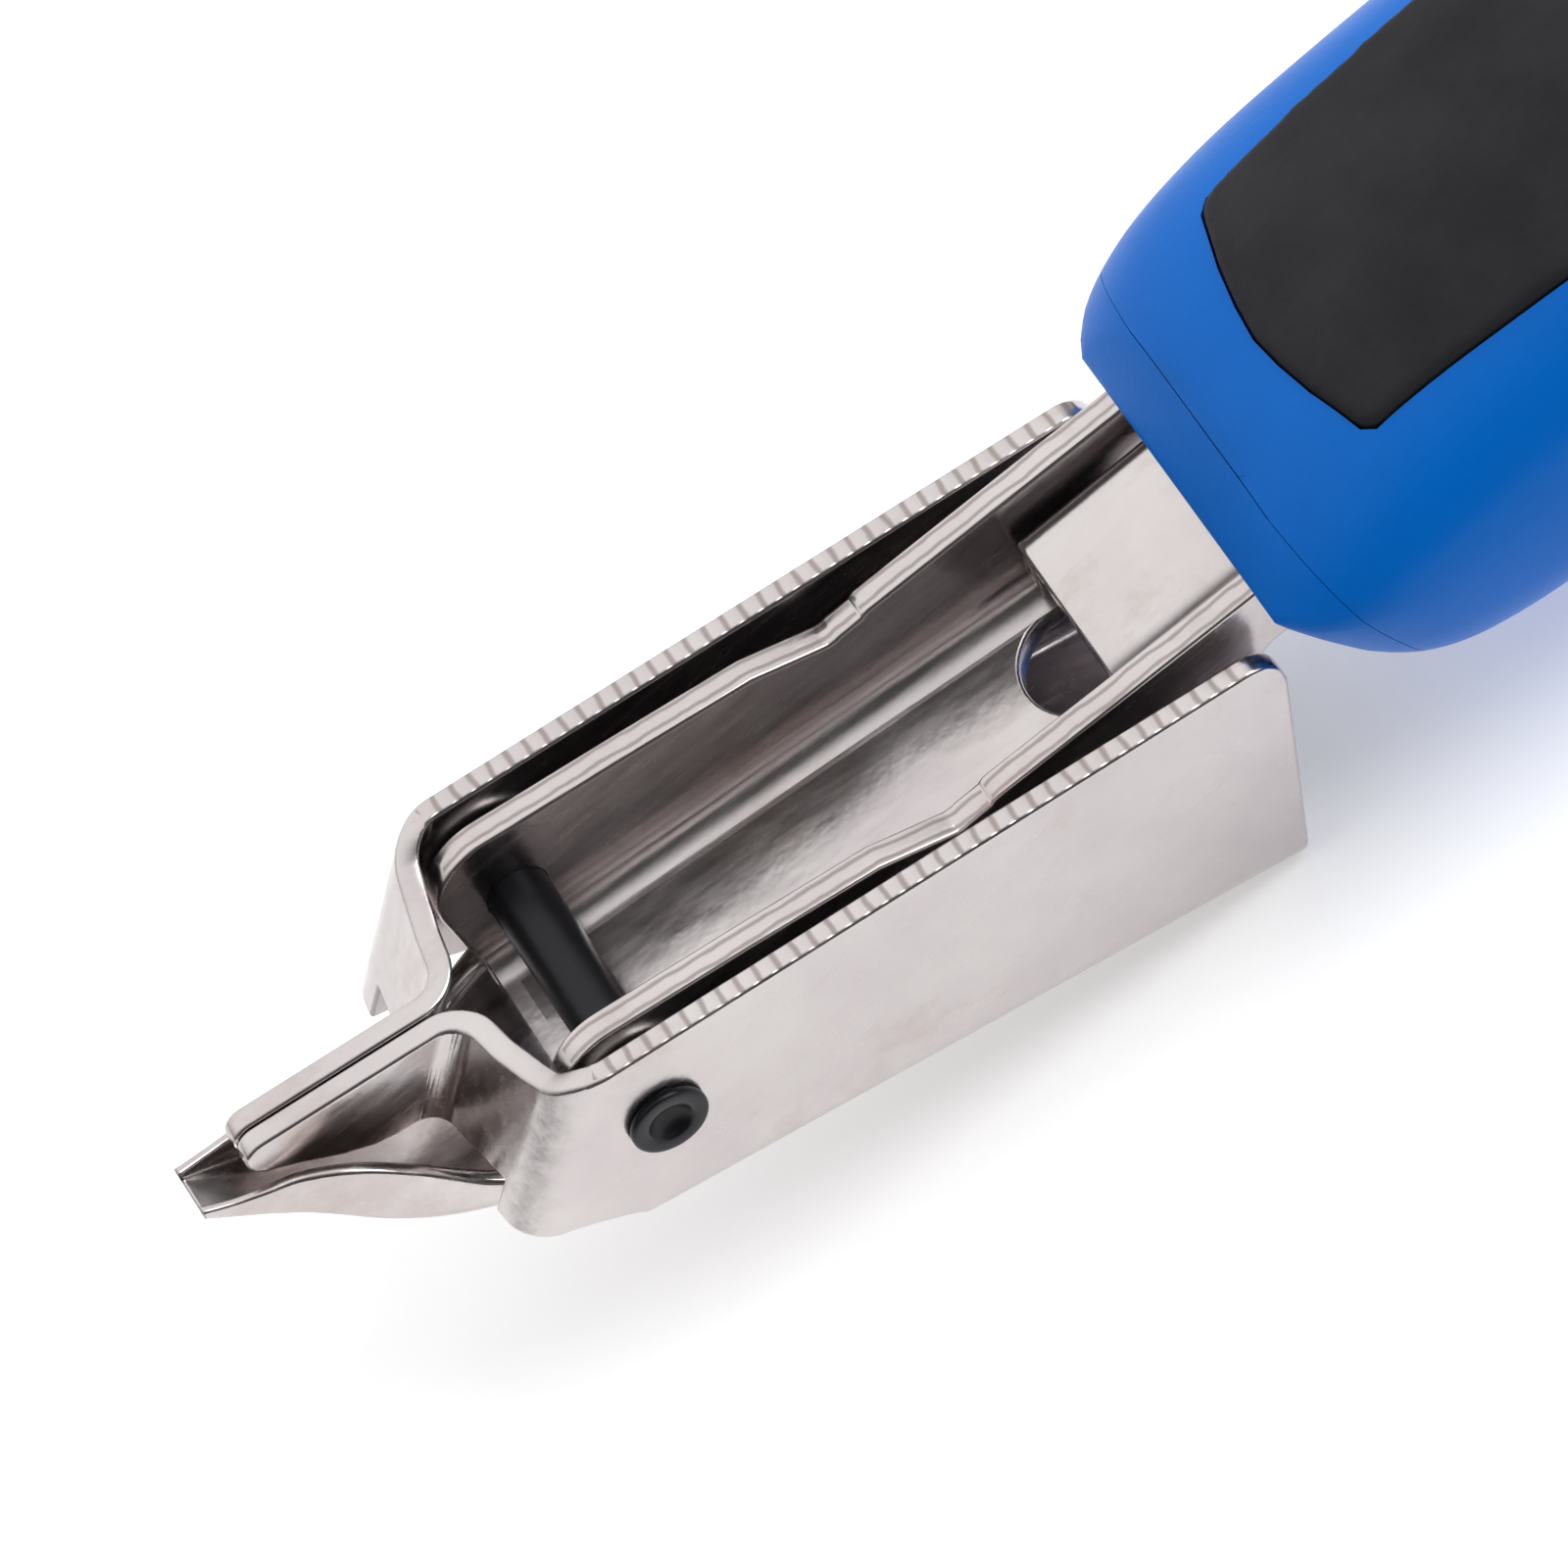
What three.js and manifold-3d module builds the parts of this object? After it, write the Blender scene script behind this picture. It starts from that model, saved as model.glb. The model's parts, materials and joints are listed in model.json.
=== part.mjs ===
// Heavy-duty staple remover: a stamped steel jaw channel, a lever with a scoop-shaped tongue that
// turns in it on one cross pin, a return spring, and a plastic handle with a rubber grip pad.
// Millimetres. The head is drawn with the pin axis at the origin, the nose towards -X, the handle
// towards +X and the open side of the jaw channel up. The whole tool is then tipped and lifted to
// how it stands: on the heel of the jaw channel and on the flat under the handle's tail.
import * as THREE from 'three';
import { mergeVertices } from 'three/addons/utils/BufferGeometryUtils.js';
import Module from 'manifold-3d';

const wasm = await Module();
wasm.setup();

// ---- driving dimensions ----
const GAP = 0.3; // clearance between pieces that are cut to fit each other

const JAW = {
  halfWidth: 9.3, sheet: 1.2, topZ: 4.9, rearX: 33.4, heelX: 31.7, heelZ: -10.6,
  webFrontX: -2.9, webFrontZ: -7.1, cornerR: 1.8, seam: 0.1,
  bendStartX: -1.7, bendR: 2.0, bendTurn: THREE.MathUtils.degToRad(81),
  flangeLean: 0.57, leanRefZ: 4.2, flangeBottomZ: -1.7, throatHalf: 6.3,
};
const LEVER = {
  halfWidth: 7.05, sheet: 1.5, floorX: 2, floorZ: -4.75, floorSlope: 0.0755,
  lobeX: -0.4, lobeZ: 1.3, lobeR: 3.3, insideR: 1.8, floorEndX: 33, strapSlope: 0.2217, strapEndX: 72,
  stepX: 19.2, stepZ: 3.4, rearX: 34.4, rearTopZ: 6.8, strapHeight: 4.0, strapDepth: 6.2,
};
const HOLE = { x: 27.7, y: 0.9, r: 3.1 };
const PIN = { shaftR: 1.55, boreR: 1.65, headR: 1.95, headProud: 0.45, dimpleR: 1.15, dimple: 0.7 };
const WASHER = { r: 3.4, boreR: 1.75, thick: 0.75 };
const TANG = { halfWidth: 5.1, sheet: 1.2, frontX: 27.6, frontZ: 4.0, height: 5.5, endX: 70, toeZ: -0.25 };
const RIVET = { r: 1.25, boreR: 1.35, xs: [46, 66], drop: 2.95 };
const SPRING = { x: 30.7, bottomZ: -8.95, topZ: 3.15, r: 1.6, wireR: 0.3, turns: 8, lean: 0.059 };
const POST = { r: 0.95, height: 3.2 };
const HANDLE = {
  startX: 35.1, startZ: 4.8, length: 115, slope: 12.5, endSlope: 4,
  power: 2.6, topWall: 4.2, sideWall: 3.0, bottomWall: 2.7, frontWall: 3.0, tailWall: 5,
};
const PAD = { depth: 1.9, proud: 0.5, startX: 40.7, endX: 132 };
const SCREW = { r: 1.25, headR: 2.7, headThick: 1.8, recess: 1.2, bossR: 3.2, boreR: 1.35, at: [20, 88] };
const TAIL_FLAT = { s: 104, cut: 0.5 };

const PLATE = { color: 0xc9c4c4, metalness: 0.9, roughness: 0.25 };
const BLACK = { color: 0x17181a, metalness: 0.6, roughness: 0.4 };
const SPRING_STEEL = { color: 0x8e8f92, metalness: 0.9, roughness: 0.35 };
const BLUE = { color: 0x0668c4, metalness: 0, roughness: 0.35 };
const RUBBER = { color: 0x2b2c30, metalness: 0, roughness: 0.75 };

// ---- small tools ----
const lerp = THREE.MathUtils.lerp;

function solid(geometry) {
  geometry.deleteAttribute('normal');
  geometry.deleteAttribute('uv');
  const merged = mergeVertices(geometry, 1e-5);
  return new wasm.Manifold(new wasm.Mesh({
    numProp: 3,
    vertProperties: new Float32Array(merged.attributes.position.array),
    triVerts: new Uint32Array(merged.index.array),
  }));
}

function geometryOf(body) {
  const mesh = body.getMesh();
  const geometry = new THREE.BufferGeometry();
  geometry.setAttribute('position', new THREE.BufferAttribute(new Float32Array(mesh.vertProperties), 3));
  geometry.setIndex(new THREE.BufferAttribute(new Uint32Array(mesh.triVerts), 1));
  return geometry;
}

// An outline of [x, z] points, extruded across Y from -half to +half, or from y0 to y1.
function sidePlate(points, y0, y1) {
  const shape = new THREE.Shape(points.map(([x, z]) => new THREE.Vector2(x, z)));
  const geometry = new THREE.ExtrudeGeometry(shape, { depth: y1 - y0, bevelEnabled: false });
  geometry.rotateX(Math.PI / 2).translate(0, y1, 0);
  return geometry;
}

// An outline of [x, y] points, extruded up Z.
function planPlate(points, z0, z1) {
  const shape = new THREE.Shape(points.map(([x, y]) => new THREE.Vector2(x, y)));
  const geometry = new THREE.ExtrudeGeometry(shape, { depth: z1 - z0, bevelEnabled: false });
  return geometry.translate(0, 0, z0);
}

// A section of [y, z] points, extruded along X from x0 to x1 and sheared so that Z rises by slope.
function channel(points, x0, x1, slope) {
  const shape = new THREE.Shape(points.map(([y, z]) => new THREE.Vector2(y, z)));
  const geometry = new THREE.ExtrudeGeometry(shape, { depth: x1 - x0, bevelEnabled: false });
  const turn = new THREE.Matrix4().makeBasis(
    new THREE.Vector3(0, 1, 0), new THREE.Vector3(0, 0, 1), new THREE.Vector3(1, 0, 0));
  const shear = new THREE.Matrix4().set(1, 0, 0, 0, 0, 1, 0, 0, slope, 0, 1, 0, 0, 0, 0, 1);
  return geometry.applyMatrix4(turn).translate(x0, 0, 0).applyMatrix4(shear);
}

function arc(cx, cy, r, from, to, steps) {
  const points = [];
  for (let i = 0; i <= steps; i += 1) {
    const a = THREE.MathUtils.degToRad(lerp(from, to, i / steps));
    points.push([cx + r * Math.cos(a), cy + r * Math.sin(a)]);
  }
  return points;
}

// A U or an inverted U of sheet: the [y, z] outline of half-width w with its closed side at z = base.
// up = 1 opens upwards, -1 downwards; the legs end at z = top.
function sheetU(w, sheet, base, top, outerR, up) {
  const innerR = Math.max(outerR - sheet, 0.3);
  const z = (d) => base + up * d;
  const outer = [
    ...arc(w - outerR, outerR, outerR, 0, -90, 5),
    ...arc(-w + outerR, outerR, outerR, -90, -180, 5),
  ];
  const inner = [
    ...arc(-w + sheet + innerR, sheet + innerR, innerR, 180, 270, 5),
    ...arc(w - sheet - innerR, sheet + innerR, innerR, -90, 0, 5),
  ];
  const reach = Math.abs(top - base);
  const ring = [[w, reach], ...outer, [-w, reach], [-w + sheet, reach], ...inner, [w - sheet, reach]];
  const placed = ring.map(([y, d]) => [y, z(d)]);
  return up > 0 ? placed.reverse() : placed;
}

// A closed body through rings of points that all have the same count; ends are filled flat.
function loft(rings, flat) {
  const n = flat.length;
  const positions = rings.flat().flatMap((p) => [p.x, p.y, p.z]);
  const faces = [];
  for (let r = 0; r + 1 < rings.length; r += 1) {
    for (let i = 0; i < n; i += 1) {
      const a = r * n + i;
      const b = r * n + (i + 1) % n;
      faces.push(a, b, b + n, a, b + n, a + n);
    }
  }
  const outline = flat.map(([x, y]) => new THREE.Vector2(x, y));
  const cap = THREE.ShapeUtils.triangulateShape(outline, []);
  if (THREE.ShapeUtils.area(outline) < 0) cap.forEach((face) => face.reverse());
  const last = (rings.length - 1) * n;
  cap.forEach(([a, b, c]) => faces.push(a, c, b, last + a, last + b, last + c));
  const geometry = new THREE.BufferGeometry();
  geometry.setAttribute('position', new THREE.Float32BufferAttribute(positions, 3));
  geometry.setIndex(volumeOf(positions, faces) > 0 ? faces : faces.reverse());
  return geometry;
}

function volumeOf(positions, faces) {
  const at = (i) => new THREE.Vector3(...positions.slice(3 * i, 3 * i + 3));
  let volume = 0;
  for (let i = 0; i < faces.length; i += 3) {
    volume += at(faces[i]).dot(at(faces[i + 1]).cross(at(faces[i + 2])));
  }
  return volume;
}

// A cylinder across Y, from y0 to y1.
function rod(r, x, z, y0, y1, sides = 32) {
  return new THREE.CylinderGeometry(r, r, y1 - y0, sides).translate(x, (y0 + y1) / 2, z);
}

function turned(profile, sides = 32) {
  return new THREE.LatheGeometry(profile.map(([r, h]) => new THREE.Vector2(r, h)), sides);
}

// Values between the rows of a table of [position, value] pairs, on a smooth curve.
function curveThrough(rows) {
  return (at) => {
    const last = rows.length - 1;
    if (at <= rows[0][0]) return rows[0][1];
    if (at >= rows[last][0]) return rows[last][1];
    const i = rows.findIndex(([x]) => x > at) - 1;
    const [x0, y0] = rows[i];
    const [x1, y1] = rows[i + 1];
    const slope = (a, b) => (rows[b][1] - rows[a][1]) / (rows[b][0] - rows[a][0]);
    const m0 = i > 0 ? slope(i - 1, i + 1) : slope(i, i + 1);
    const m1 = i + 2 <= last ? slope(i, i + 2) : slope(i, i + 1);
    const t = (at - x0) / (x1 - x0);
    const w = x1 - x0;
    return (2 * t ** 3 - 3 * t ** 2 + 1) * y0 + (t ** 3 - 2 * t ** 2 + t) * w * m0
      + (-2 * t ** 3 + 3 * t ** 2) * y1 + (t ** 3 - t ** 2) * w * m1;
  };
}

// ---- jaw channel with its nose ----
const webSlope = (JAW.heelZ - JAW.webFrontZ) / (JAW.heelX - JAW.webFrontX);

// One side's sheet seen from above: wall, inward bend, flange, bend back, nose plate.
function sideRibbon() {
  const { bendR, bendTurn, sheet, seam, halfWidth, bendStartX } = JAW;
  const path = [];
  let x = bendStartX + 14;
  let y = halfWidth - sheet / 2;
  let heading = Math.PI;
  const mark = () => path.push([x, y, heading]);
  const run = (length) => {
    x += length * Math.cos(heading);
    y += length * Math.sin(heading);
    mark();
  };
  const bend = (angle, steps) => {
    for (let i = 0; i < steps; i += 1) {
      const half = angle / steps / 2;
      const chord = 2 * bendR * Math.sin(Math.abs(half));
      heading += half;
      x += chord * Math.cos(heading);
      y += chord * Math.sin(heading);
      heading += half;
      mark();
    }
  };
  const drop = halfWidth - sheet / 2 - (sheet + seam) / 2;
  const flange = (drop - 2 * bendR * (1 - Math.cos(bendTurn))) / Math.sin(bendTurn);
  mark();
  run(14);
  bend(bendTurn, 8);
  run(flange);
  bend(-bendTurn, 8);
  run(30);
  const side = (sign) => path.map(([px, py, h]) => [
    px - sign * (sheet / 2) * Math.sin(h), py + sign * (sheet / 2) * Math.cos(h)]);
  return [...side(1), ...side(-1).reverse()];
}

function jawSide(sign) {
  const { flangeLean, leanRefZ } = JAW;
  const plate = planPlate(sideRibbon(), -14, 8);
  const lean = new THREE.Matrix4().set(
    1, 0, flangeLean, -flangeLean * leanRefZ, 0, 1, 0, 0, 0, 0, 1, 0, 0, 0, 0, 1);
  const body = solid(plate.applyMatrix4(lean));
  return sign > 0 ? body : body.mirror([0, 1, 0]);
}

// Side view of the whole jaw, nose tip to heel.
function jawOutline() {
  const { topZ, rearX, heelX, heelZ, webFrontX, webFrontZ } = JAW;
  return [
    [-2.0, topZ], [-2.8, topZ - 0.15], [-3.4, topZ - 0.5], [-4.0, topZ - 1.0], [-4.6, topZ - 1.4],
    [-5.4, topZ - 1.5], [-16.2, topZ - 1.5], ...arc(-16.2, 2.3, 1.1, 105, 190, 5), [-17.15, 1.7],
    [-16.6, 1.35], [-15, 0.45],
    [-13.2, -0.75], [-11.7, -1.55], [-10.6, -1.7], [-8.9, -1.8],
    ...arc(-7.3, -2.6, 1.2, 165, 240, 5), [-6.2, -4.0], [-3.2, -5.6], [webFrontX, webFrontZ],
    [heelX, heelZ], [heelX + 0.35, heelZ + 0.7],
    [rearX + 0.75, topZ - 1.9], [rearX + 0.7, topZ - 1.3], [rearX + 0.35, topZ - 0.5],
    [rearX - 0.5, topZ],
  ];
}

function makeJaw() {
  const { halfWidth, sheet, cornerR, webFrontX, webFrontZ, throatHalf, flangeBottomZ } = JAW;
  const baseZ = webFrontZ - webSlope * webFrontX;
  const trough = solid(channel(sheetU(halfWidth, sheet, baseZ, 16, cornerR, 1), webFrontX, 38, webSlope));
  const outline = solid(sidePlate(jawOutline(), -halfWidth - 1, halfWidth + 1));
  const throat = solid(sidePlate(
    [[-14, -9], [webFrontX, -9], [webFrontX, flangeBottomZ - 3], [-4.2, flangeBottomZ], [-14, flangeBottomZ]],
    -throatHalf, throatHalf));
  return jawSide(1).add(jawSide(-1)).subtract(throat).add(trough).intersect(outline)
    .subtract(solid(rod(PIN.boreR, 0, 0, -halfWidth - 1, halfWidth + 1)));
}

// ---- lever with its tongue ----
const floorAt = (x) => LEVER.floorZ + (x - LEVER.floorX) * LEVER.floorSlope;
const strapTopAt = (x) => LEVER.rearTopZ + (x - LEVER.rearX) * LEVER.strapSlope;

// Tongue stations: [x, half-width, bottom z, top z, floor thickness, side thickness, rim tuck].
// The rims stand in from the widest place by the tuck.
const TONGUE = [
  [-20.1, 1.5, 0.9, 1.7, 0.45, 0.5, 0],
  [-18.6, 1.8, -0.45, 1.35, 0.7, 0.45, 0],
  [-17.2, 2.15, -1.6, 1.15, 0.8, 0.5, 0.1],
  [-15.4, 2.65, -2.95, 0.9, 0.9, 0.65, 0.3],
  [-13.0, 3.75, -4.5, 0.4, 1.0, 0.8, 0.4],
  [-10.8, 4.6, -5.45, -1.0, 1.1, 0.9, 0.4],
  [-8.5, 5.35, -5.9, -3.0, 1.2, 1.0, 0.3],
  [-6.6, 5.9, -5.75, -3.9, 1.3, 1.1, 0.15],
  [-4.6, 6.5, -5.4, -3.6, 1.4, 1.3, 0],
  [-3.0, 7.05, -5.13, -3.4, 1.5, 1.5, 0],
  [-2.0, 7.05, -5.05, -3.4, 1.5, 1.5, 0],
];

function tongueRing([x, half, bottom, top, floor, side, tuck]) {
  const outerR = Math.min(0.75 * half, 0.6 * (top - bottom), 1.8);
  const insideHalf = half - side;
  const insideR = Math.max(0.25, Math.min(outerR - side * 0.6, 0.8 * insideHalf, 0.7 * (top - bottom - floor)));
  const ring = [
    [half - tuck, top],
    ...arc(half - outerR, bottom + outerR, outerR, 0, -90, 5),
    ...arc(-half + outerR, bottom + outerR, outerR, -90, -180, 5),
    [-half + tuck, top], [-insideHalf + tuck, top],
    ...arc(-insideHalf + insideR, bottom + floor + insideR, insideR, 180, 270, 5),
    ...arc(insideHalf - insideR, bottom + floor + insideR, insideR, -90, 0, 5),
    [insideHalf - tuck, top],
  ];
  return { flat: ring, points: ring.map(([y, z]) => new THREE.Vector3(x, y, z)) };
}

function makeTongue() {
  const rings = TONGUE.map(tongueRing);
  return solid(loft(rings.map((ring) => ring.points), rings[0].flat));
}

function leverOutline() {
  const { lobeX, lobeZ, lobeR, stepX, stepZ, rearX, rearTopZ } = LEVER;
  const { strapEndX, strapHeight, strapDepth, floorEndX } = LEVER;
  return [
    [-3.0, floorAt(-3) - 1], [-3.0, -3.6], ...arc(lobeX, lobeZ, lobeR, 190, 90, 12), [14, 4.35],
    [stepX - 0.4, stepZ],
    [stepX + 0.3, stepZ + 0.65], [rearX, rearTopZ], [strapEndX, strapTopAt(strapEndX)],
    [strapEndX, strapTopAt(strapEndX) - strapDepth], [41, strapTopAt(41) - strapDepth],
    [39, strapTopAt(39) - strapHeight], [35.2, strapTopAt(35.2) - strapHeight],
    ...arc(35.2, strapTopAt(35.2) - strapHeight - 1.6, 1.6, 90, 165, 4),
    [floorEndX + 0.1, -0.5], [floorEndX, floorAt(floorEndX) - 1],
  ];
}

function makeLever() {
  const { halfWidth, sheet, floorX, floorZ, floorSlope, strapEndX, insideR } = LEVER;
  const base = floorZ - floorX * floorSlope;
  const section = sheetU(halfWidth, sheet, base, base + 30, insideR + sheet, 1);
  const trough = solid(channel(section, -3.2, strapEndX + 1, floorSlope));
  const outline = solid(sidePlate(leverOutline(), -halfWidth - 1, halfWidth + 1));
  const floorHole = solid(new THREE.CylinderGeometry(HOLE.r, HOLE.r, 8, 40)
    .rotateX(Math.PI / 2).translate(HOLE.x, HOLE.y, floorAt(HOLE.x)));
  const floorSlot = solid(new THREE.BoxGeometry(7, 2 * HOLE.r, 8)
    .translate(HOLE.x + 3.5, HOLE.y, floorAt(HOLE.x)));
  let body = trough.intersect(outline).add(makeTongue()).subtract(floorHole).subtract(floorSlot)
    .subtract(solid(rod(PIN.boreR, 0, 0, -halfWidth - 1, halfWidth + 1)));
  RIVET.xs.forEach((x) => {
    body = body.subtract(solid(rod(RIVET.boreR, x, tangTopAt(x) - RIVET.drop, -halfWidth - 1, halfWidth + 1)));
  });
  return body;
}

// ---- tang, rivets ----
const tangTopAt = (x) => TANG.frontZ + (x - TANG.frontX) * LEVER.strapSlope;

function makeTang() {
  const { halfWidth, sheet, frontX, frontZ, height, endX, toeZ } = TANG;
  const top = frontZ - frontX * LEVER.strapSlope;
  const section = sheetU(halfWidth, sheet, top, top - height, sheet + 0.3, -1);
  const underToes = sidePlate([[20, -10], [38, -10], [38, toeZ], [20, toeZ]], -halfWidth - 1, halfWidth + 1);
  let body = solid(channel(section, frontX, endX, LEVER.strapSlope)).subtract(solid(underToes));
  RIVET.xs.forEach((x) => {
    body = body.subtract(solid(rod(RIVET.boreR, x, tangTopAt(x) - RIVET.drop, -halfWidth - 1, halfWidth + 1)));
  });
  return body.subtract(screwBody(SCREW.at[0], SCREW.boreR + 0.4, -30, 30));
}

function makeRivet(x) {
  return rod(RIVET.r, x, tangTopAt(x) - RIVET.drop, -LEVER.halfWidth, LEVER.halfWidth, 24);
}

// ---- pivot pin and washers ----
function makePin() {
  const { shaftR, headR, headProud, dimpleR, dimple } = PIN;
  const wall = JAW.halfWidth;
  const tip = wall + GAP / 3 + headProud;
  const half = [
    [shaftR, wall + GAP / 3], [headR - 0.05, wall + GAP / 3], [headR, wall + GAP / 3 + 0.12],
    [headR - 0.05, tip - 0.12], [headR - 0.22, tip], [dimpleR, tip], [dimpleR * 0.55, tip - dimple * 0.75],
    [0, tip - dimple],
  ];
  const profile = [...half.map(([r, h]) => [r, -h]).reverse(), ...half];
  return turned(profile, 36);
}

function makeWasher(sign) {
  const middle = sign * (LEVER.halfWidth + JAW.halfWidth - JAW.sheet) / 2;
  const { r, boreR, thick } = WASHER;
  const ring = [[boreR, -thick / 2], [r, -thick / 2], [r, thick / 2], [boreR, thick / 2], [boreR, -thick / 2]];
  return turned(ring, 36).translate(0, middle, 0);
}

// ---- return spring and its post ----
class Helix extends THREE.Curve {
  getPoint(t, target = new THREE.Vector3()) {
    const { r, turns, bottomZ, topZ, lean, x } = SPRING;
    const a = 2 * Math.PI * turns * t;
    const h = t * (topZ - bottomZ);
    return target.set(x + r * Math.cos(a) - lean * h, r * Math.sin(a), bottomZ + h);
  }
}

function makeSpring() {
  const section = new THREE.Shape(arc(0, 0, SPRING.wireR, 0, 315, 7).map(([x, y]) => new THREE.Vector2(x, y)));
  return new THREE.ExtrudeGeometry(section, {
    steps: SPRING.turns * 14, bevelEnabled: false, extrudePath: new Helix(),
  });
}

function makePost() {
  const webTop = JAW.webFrontZ + (SPRING.x - JAW.webFrontX) * webSlope + JAW.sheet;
  const { r, height } = POST;
  return turned([[0, 0], [r, 0], [r, height - 0.4], [r - 0.4, height], [0, height]], 20)
    .rotateX(Math.PI / 2).rotateY(-SPRING.lean).translate(SPRING.x, 0, webTop + GAP / 2);
}

// ---- handle ----
const rad = THREE.MathUtils.degToRad;
const handleSlope = (s) => rad(lerp(HANDLE.slope, HANDLE.endSlope, s / HANDLE.length));

function handleCentre(s) {
  const a0 = rad(HANDLE.slope);
  const k = (rad(HANDLE.endSlope) - a0) / HANDLE.length;
  const x = HANDLE.startX + (Math.sin(a0 + k * s) - Math.sin(a0)) / k;
  const z = HANDLE.startZ - (Math.cos(a0 + k * s) - Math.cos(a0)) / k;
  return [x, z];
}

const halfWidthAt = curveThrough([[0, 9.4], [1, 10.9], [3, 12.3], [6, 13.1], [12, 13.6], [30, 13.75],
  [60, 13.7], [85, 13.2], [100, 12.3], [108, 10.9], [113, 8.6], [115, 6.2]]);
const topAt = curveThrough([[0, 5.7], [1.2, 6.6], [4, 7.6], [8, 8.4], [14, 9.0], [30, 9.6], [60, 9.9],
  [85, 9.4], [100, 8.6], [108, 7.4], [113, 5.6], [115, 4.0]]);
const bottomAt = curveThrough([[0, 6.3], [1.2, 7.2], [4, 8.2], [8, 8.9], [14, 9.3], [30, 9.8], [60, 10.4],
  [85, 10.0], [100, 9.0], [108, 7.6], [113, 5.8], [115, 4.2]]);
// The front is foremost at this height above the centre line. Above it the sections lean back by the
// slope that leanAt gives, and below it by the chin's share of that.
const PEAK = 2.4;
const CHIN = 0.39;
const leanAt = curveThrough([[0, 0.95], [3, 0.72], [8, 0.36], [14, 0.1], [20, 0], [115, 0]]);

// One ring of the handle's skin, moved in by the given walls (out where a wall is negative).
function handleRing(s, top, side, bottom, steps = 40) {
  const [cx, cz] = handleCentre(s);
  const a = handleSlope(s);
  const w = halfWidthAt(s) - side;
  const points = [];
  for (let i = 0; i < steps; i += 1) {
    const t = (2 * Math.PI * i) / steps;
    const p = 2 / HANDLE.power;
    const y = w * Math.sign(Math.cos(t)) * Math.abs(Math.cos(t)) ** p;
    const reach = Math.sin(t) > 0 ? topAt(s) - top : bottomAt(s) - bottom;
    const h = reach * Math.sign(Math.sin(t)) * Math.abs(Math.sin(t)) ** p;
    const along = leanAt(s) * (h > PEAK ? h - PEAK : CHIN * (PEAK - h));
    points.push(new THREE.Vector3(
      cx + along * Math.cos(a) - h * Math.sin(a), y, cz + along * Math.sin(a) + h * Math.cos(a)));
  }
  return points;
}

function handleBody(stations, top, side, bottom) {
  const rings = stations.map((s) => handleRing(s, top, side, bottom));
  const flat = rings[0].map((_, i) => [
    Math.cos((2 * Math.PI * i) / rings[0].length), Math.sin((2 * Math.PI * i) / rings[0].length)]);
  return solid(loft(rings, flat));
}

const SKIN = [0, 0.5, 1.2, 2.4, 4, 6, 8, 11, 14, 20, 30, 45, 60, 75, 85, 93, 100, 104.5, 108, 111, 113,
  114.3, 115];
const CAVITY = [HANDLE.frontWall, 6, 10, 15, 25, 45, 65, 85, 96, 103, HANDLE.length - HANDLE.tailWall];

// A cylinder square to the handle's centre line at s, from height h0 to h1 above it.
function screwBody(s, r, h0, h1, sides = 28) {
  const [cx, cz] = handleCentre(s);
  return solid(new THREE.CylinderGeometry(r, r, h1 - h0, sides).rotateX(Math.PI / 2)
    .translate(0, 0, (h0 + h1) / 2).rotateY(-handleSlope(s)).translate(cx, 0, cz));
}

// The opening that the lever's straps and the tang run through.
function strapSlot() {
  const y = LEVER.halfWidth + GAP;
  const high = (x) => strapTopAt(x) + GAP;
  const low = (x) => Math.min(tangTopAt(x) - TANG.height, strapTopAt(x) - LEVER.strapDepth) - GAP;
  const end = LEVER.strapEndX + 1;
  return solid(sidePlate([[31, low(31)], [end, low(end)], [end, high(end)], [31, high(31)]], -y, y));
}

// Grip pad outline seen from above, grown by a margin.
function padOutline(margin) {
  const half = curveThrough([[42.4, 7.75], [53.4, 8.5], [64, 9.0], [95, 9.2], [118, 8.4], [128, 6.8]]);
  const xs = [42.4, 47, 53, 64, 80, 95, 107, 118, 124, 128];
  const front = [[41.9, 6.4], [41.3, 4.2], [40.9, 2.0], [PAD.startX, 0]];
  const side = [...front.reverse().map(([x, y]) => [x - margin, y]), [42.3 - margin, 7.75 + margin / 2],
    ...xs.map((x) => [x, half(x) + margin])];
  const tail = [[130.6 + margin, 4.2 + margin / 2], [PAD.endX + margin, 0]];
  const oneSide = [...side, ...tail];
  return [...oneSide.map(([x, y]) => [x, -y]), ...oneSide.slice(1, -1).reverse()];
}

// The outline carried straight up and down, as far down as the handle's centre line.
function padColumn(margin) {
  const line = [-5, 20, 45, 70, 95, 115].map(handleCentre);
  const upperHalf = solid(sidePlate([...line, [160, 24], [160, 60], [20, 60]], -20, 20));
  return solid(planPlate(padOutline(margin), 0, 60)).intersect(upperHalf);
}

// Side view of what belongs to the upper shell: all but the front collar and the shallow belly.
function upperRegion(gap) {
  const belly = [];
  for (let s = 112; s >= 3; s -= 5) {
    const [x, z] = handleCentre(s);
    belly.push([x, z - bottomAt(s) * 0.62 + gap]);
  }
  return solid(sidePlate([
    [36.75 + gap, 12.5], [36.75 + gap, 10.4], [38.6 + gap, 6], [40.6 + gap, 1.2 + gap],
    [41.4 + gap, 0.5 + gap],
    ...belly.reverse().filter(([x]) => x > 43), [160, 18 + gap], [160, 60], [36.75 + gap, 60]], -20, 20));
}

// The plane through the heel and the underside of the tail, which the tool stands on.
function tailPoint() {
  const [cx, cz] = handleCentre(TAIL_FLAT.s);
  const a = handleSlope(TAIL_FLAT.s);
  const h = -(bottomAt(TAIL_FLAT.s) - TAIL_FLAT.cut);
  return [cx - h * Math.sin(a), cz + h * Math.cos(a)];
}
const restTilt = Math.atan2(tailPoint()[1] - JAW.heelZ, tailPoint()[0] - JAW.heelX);

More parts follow.
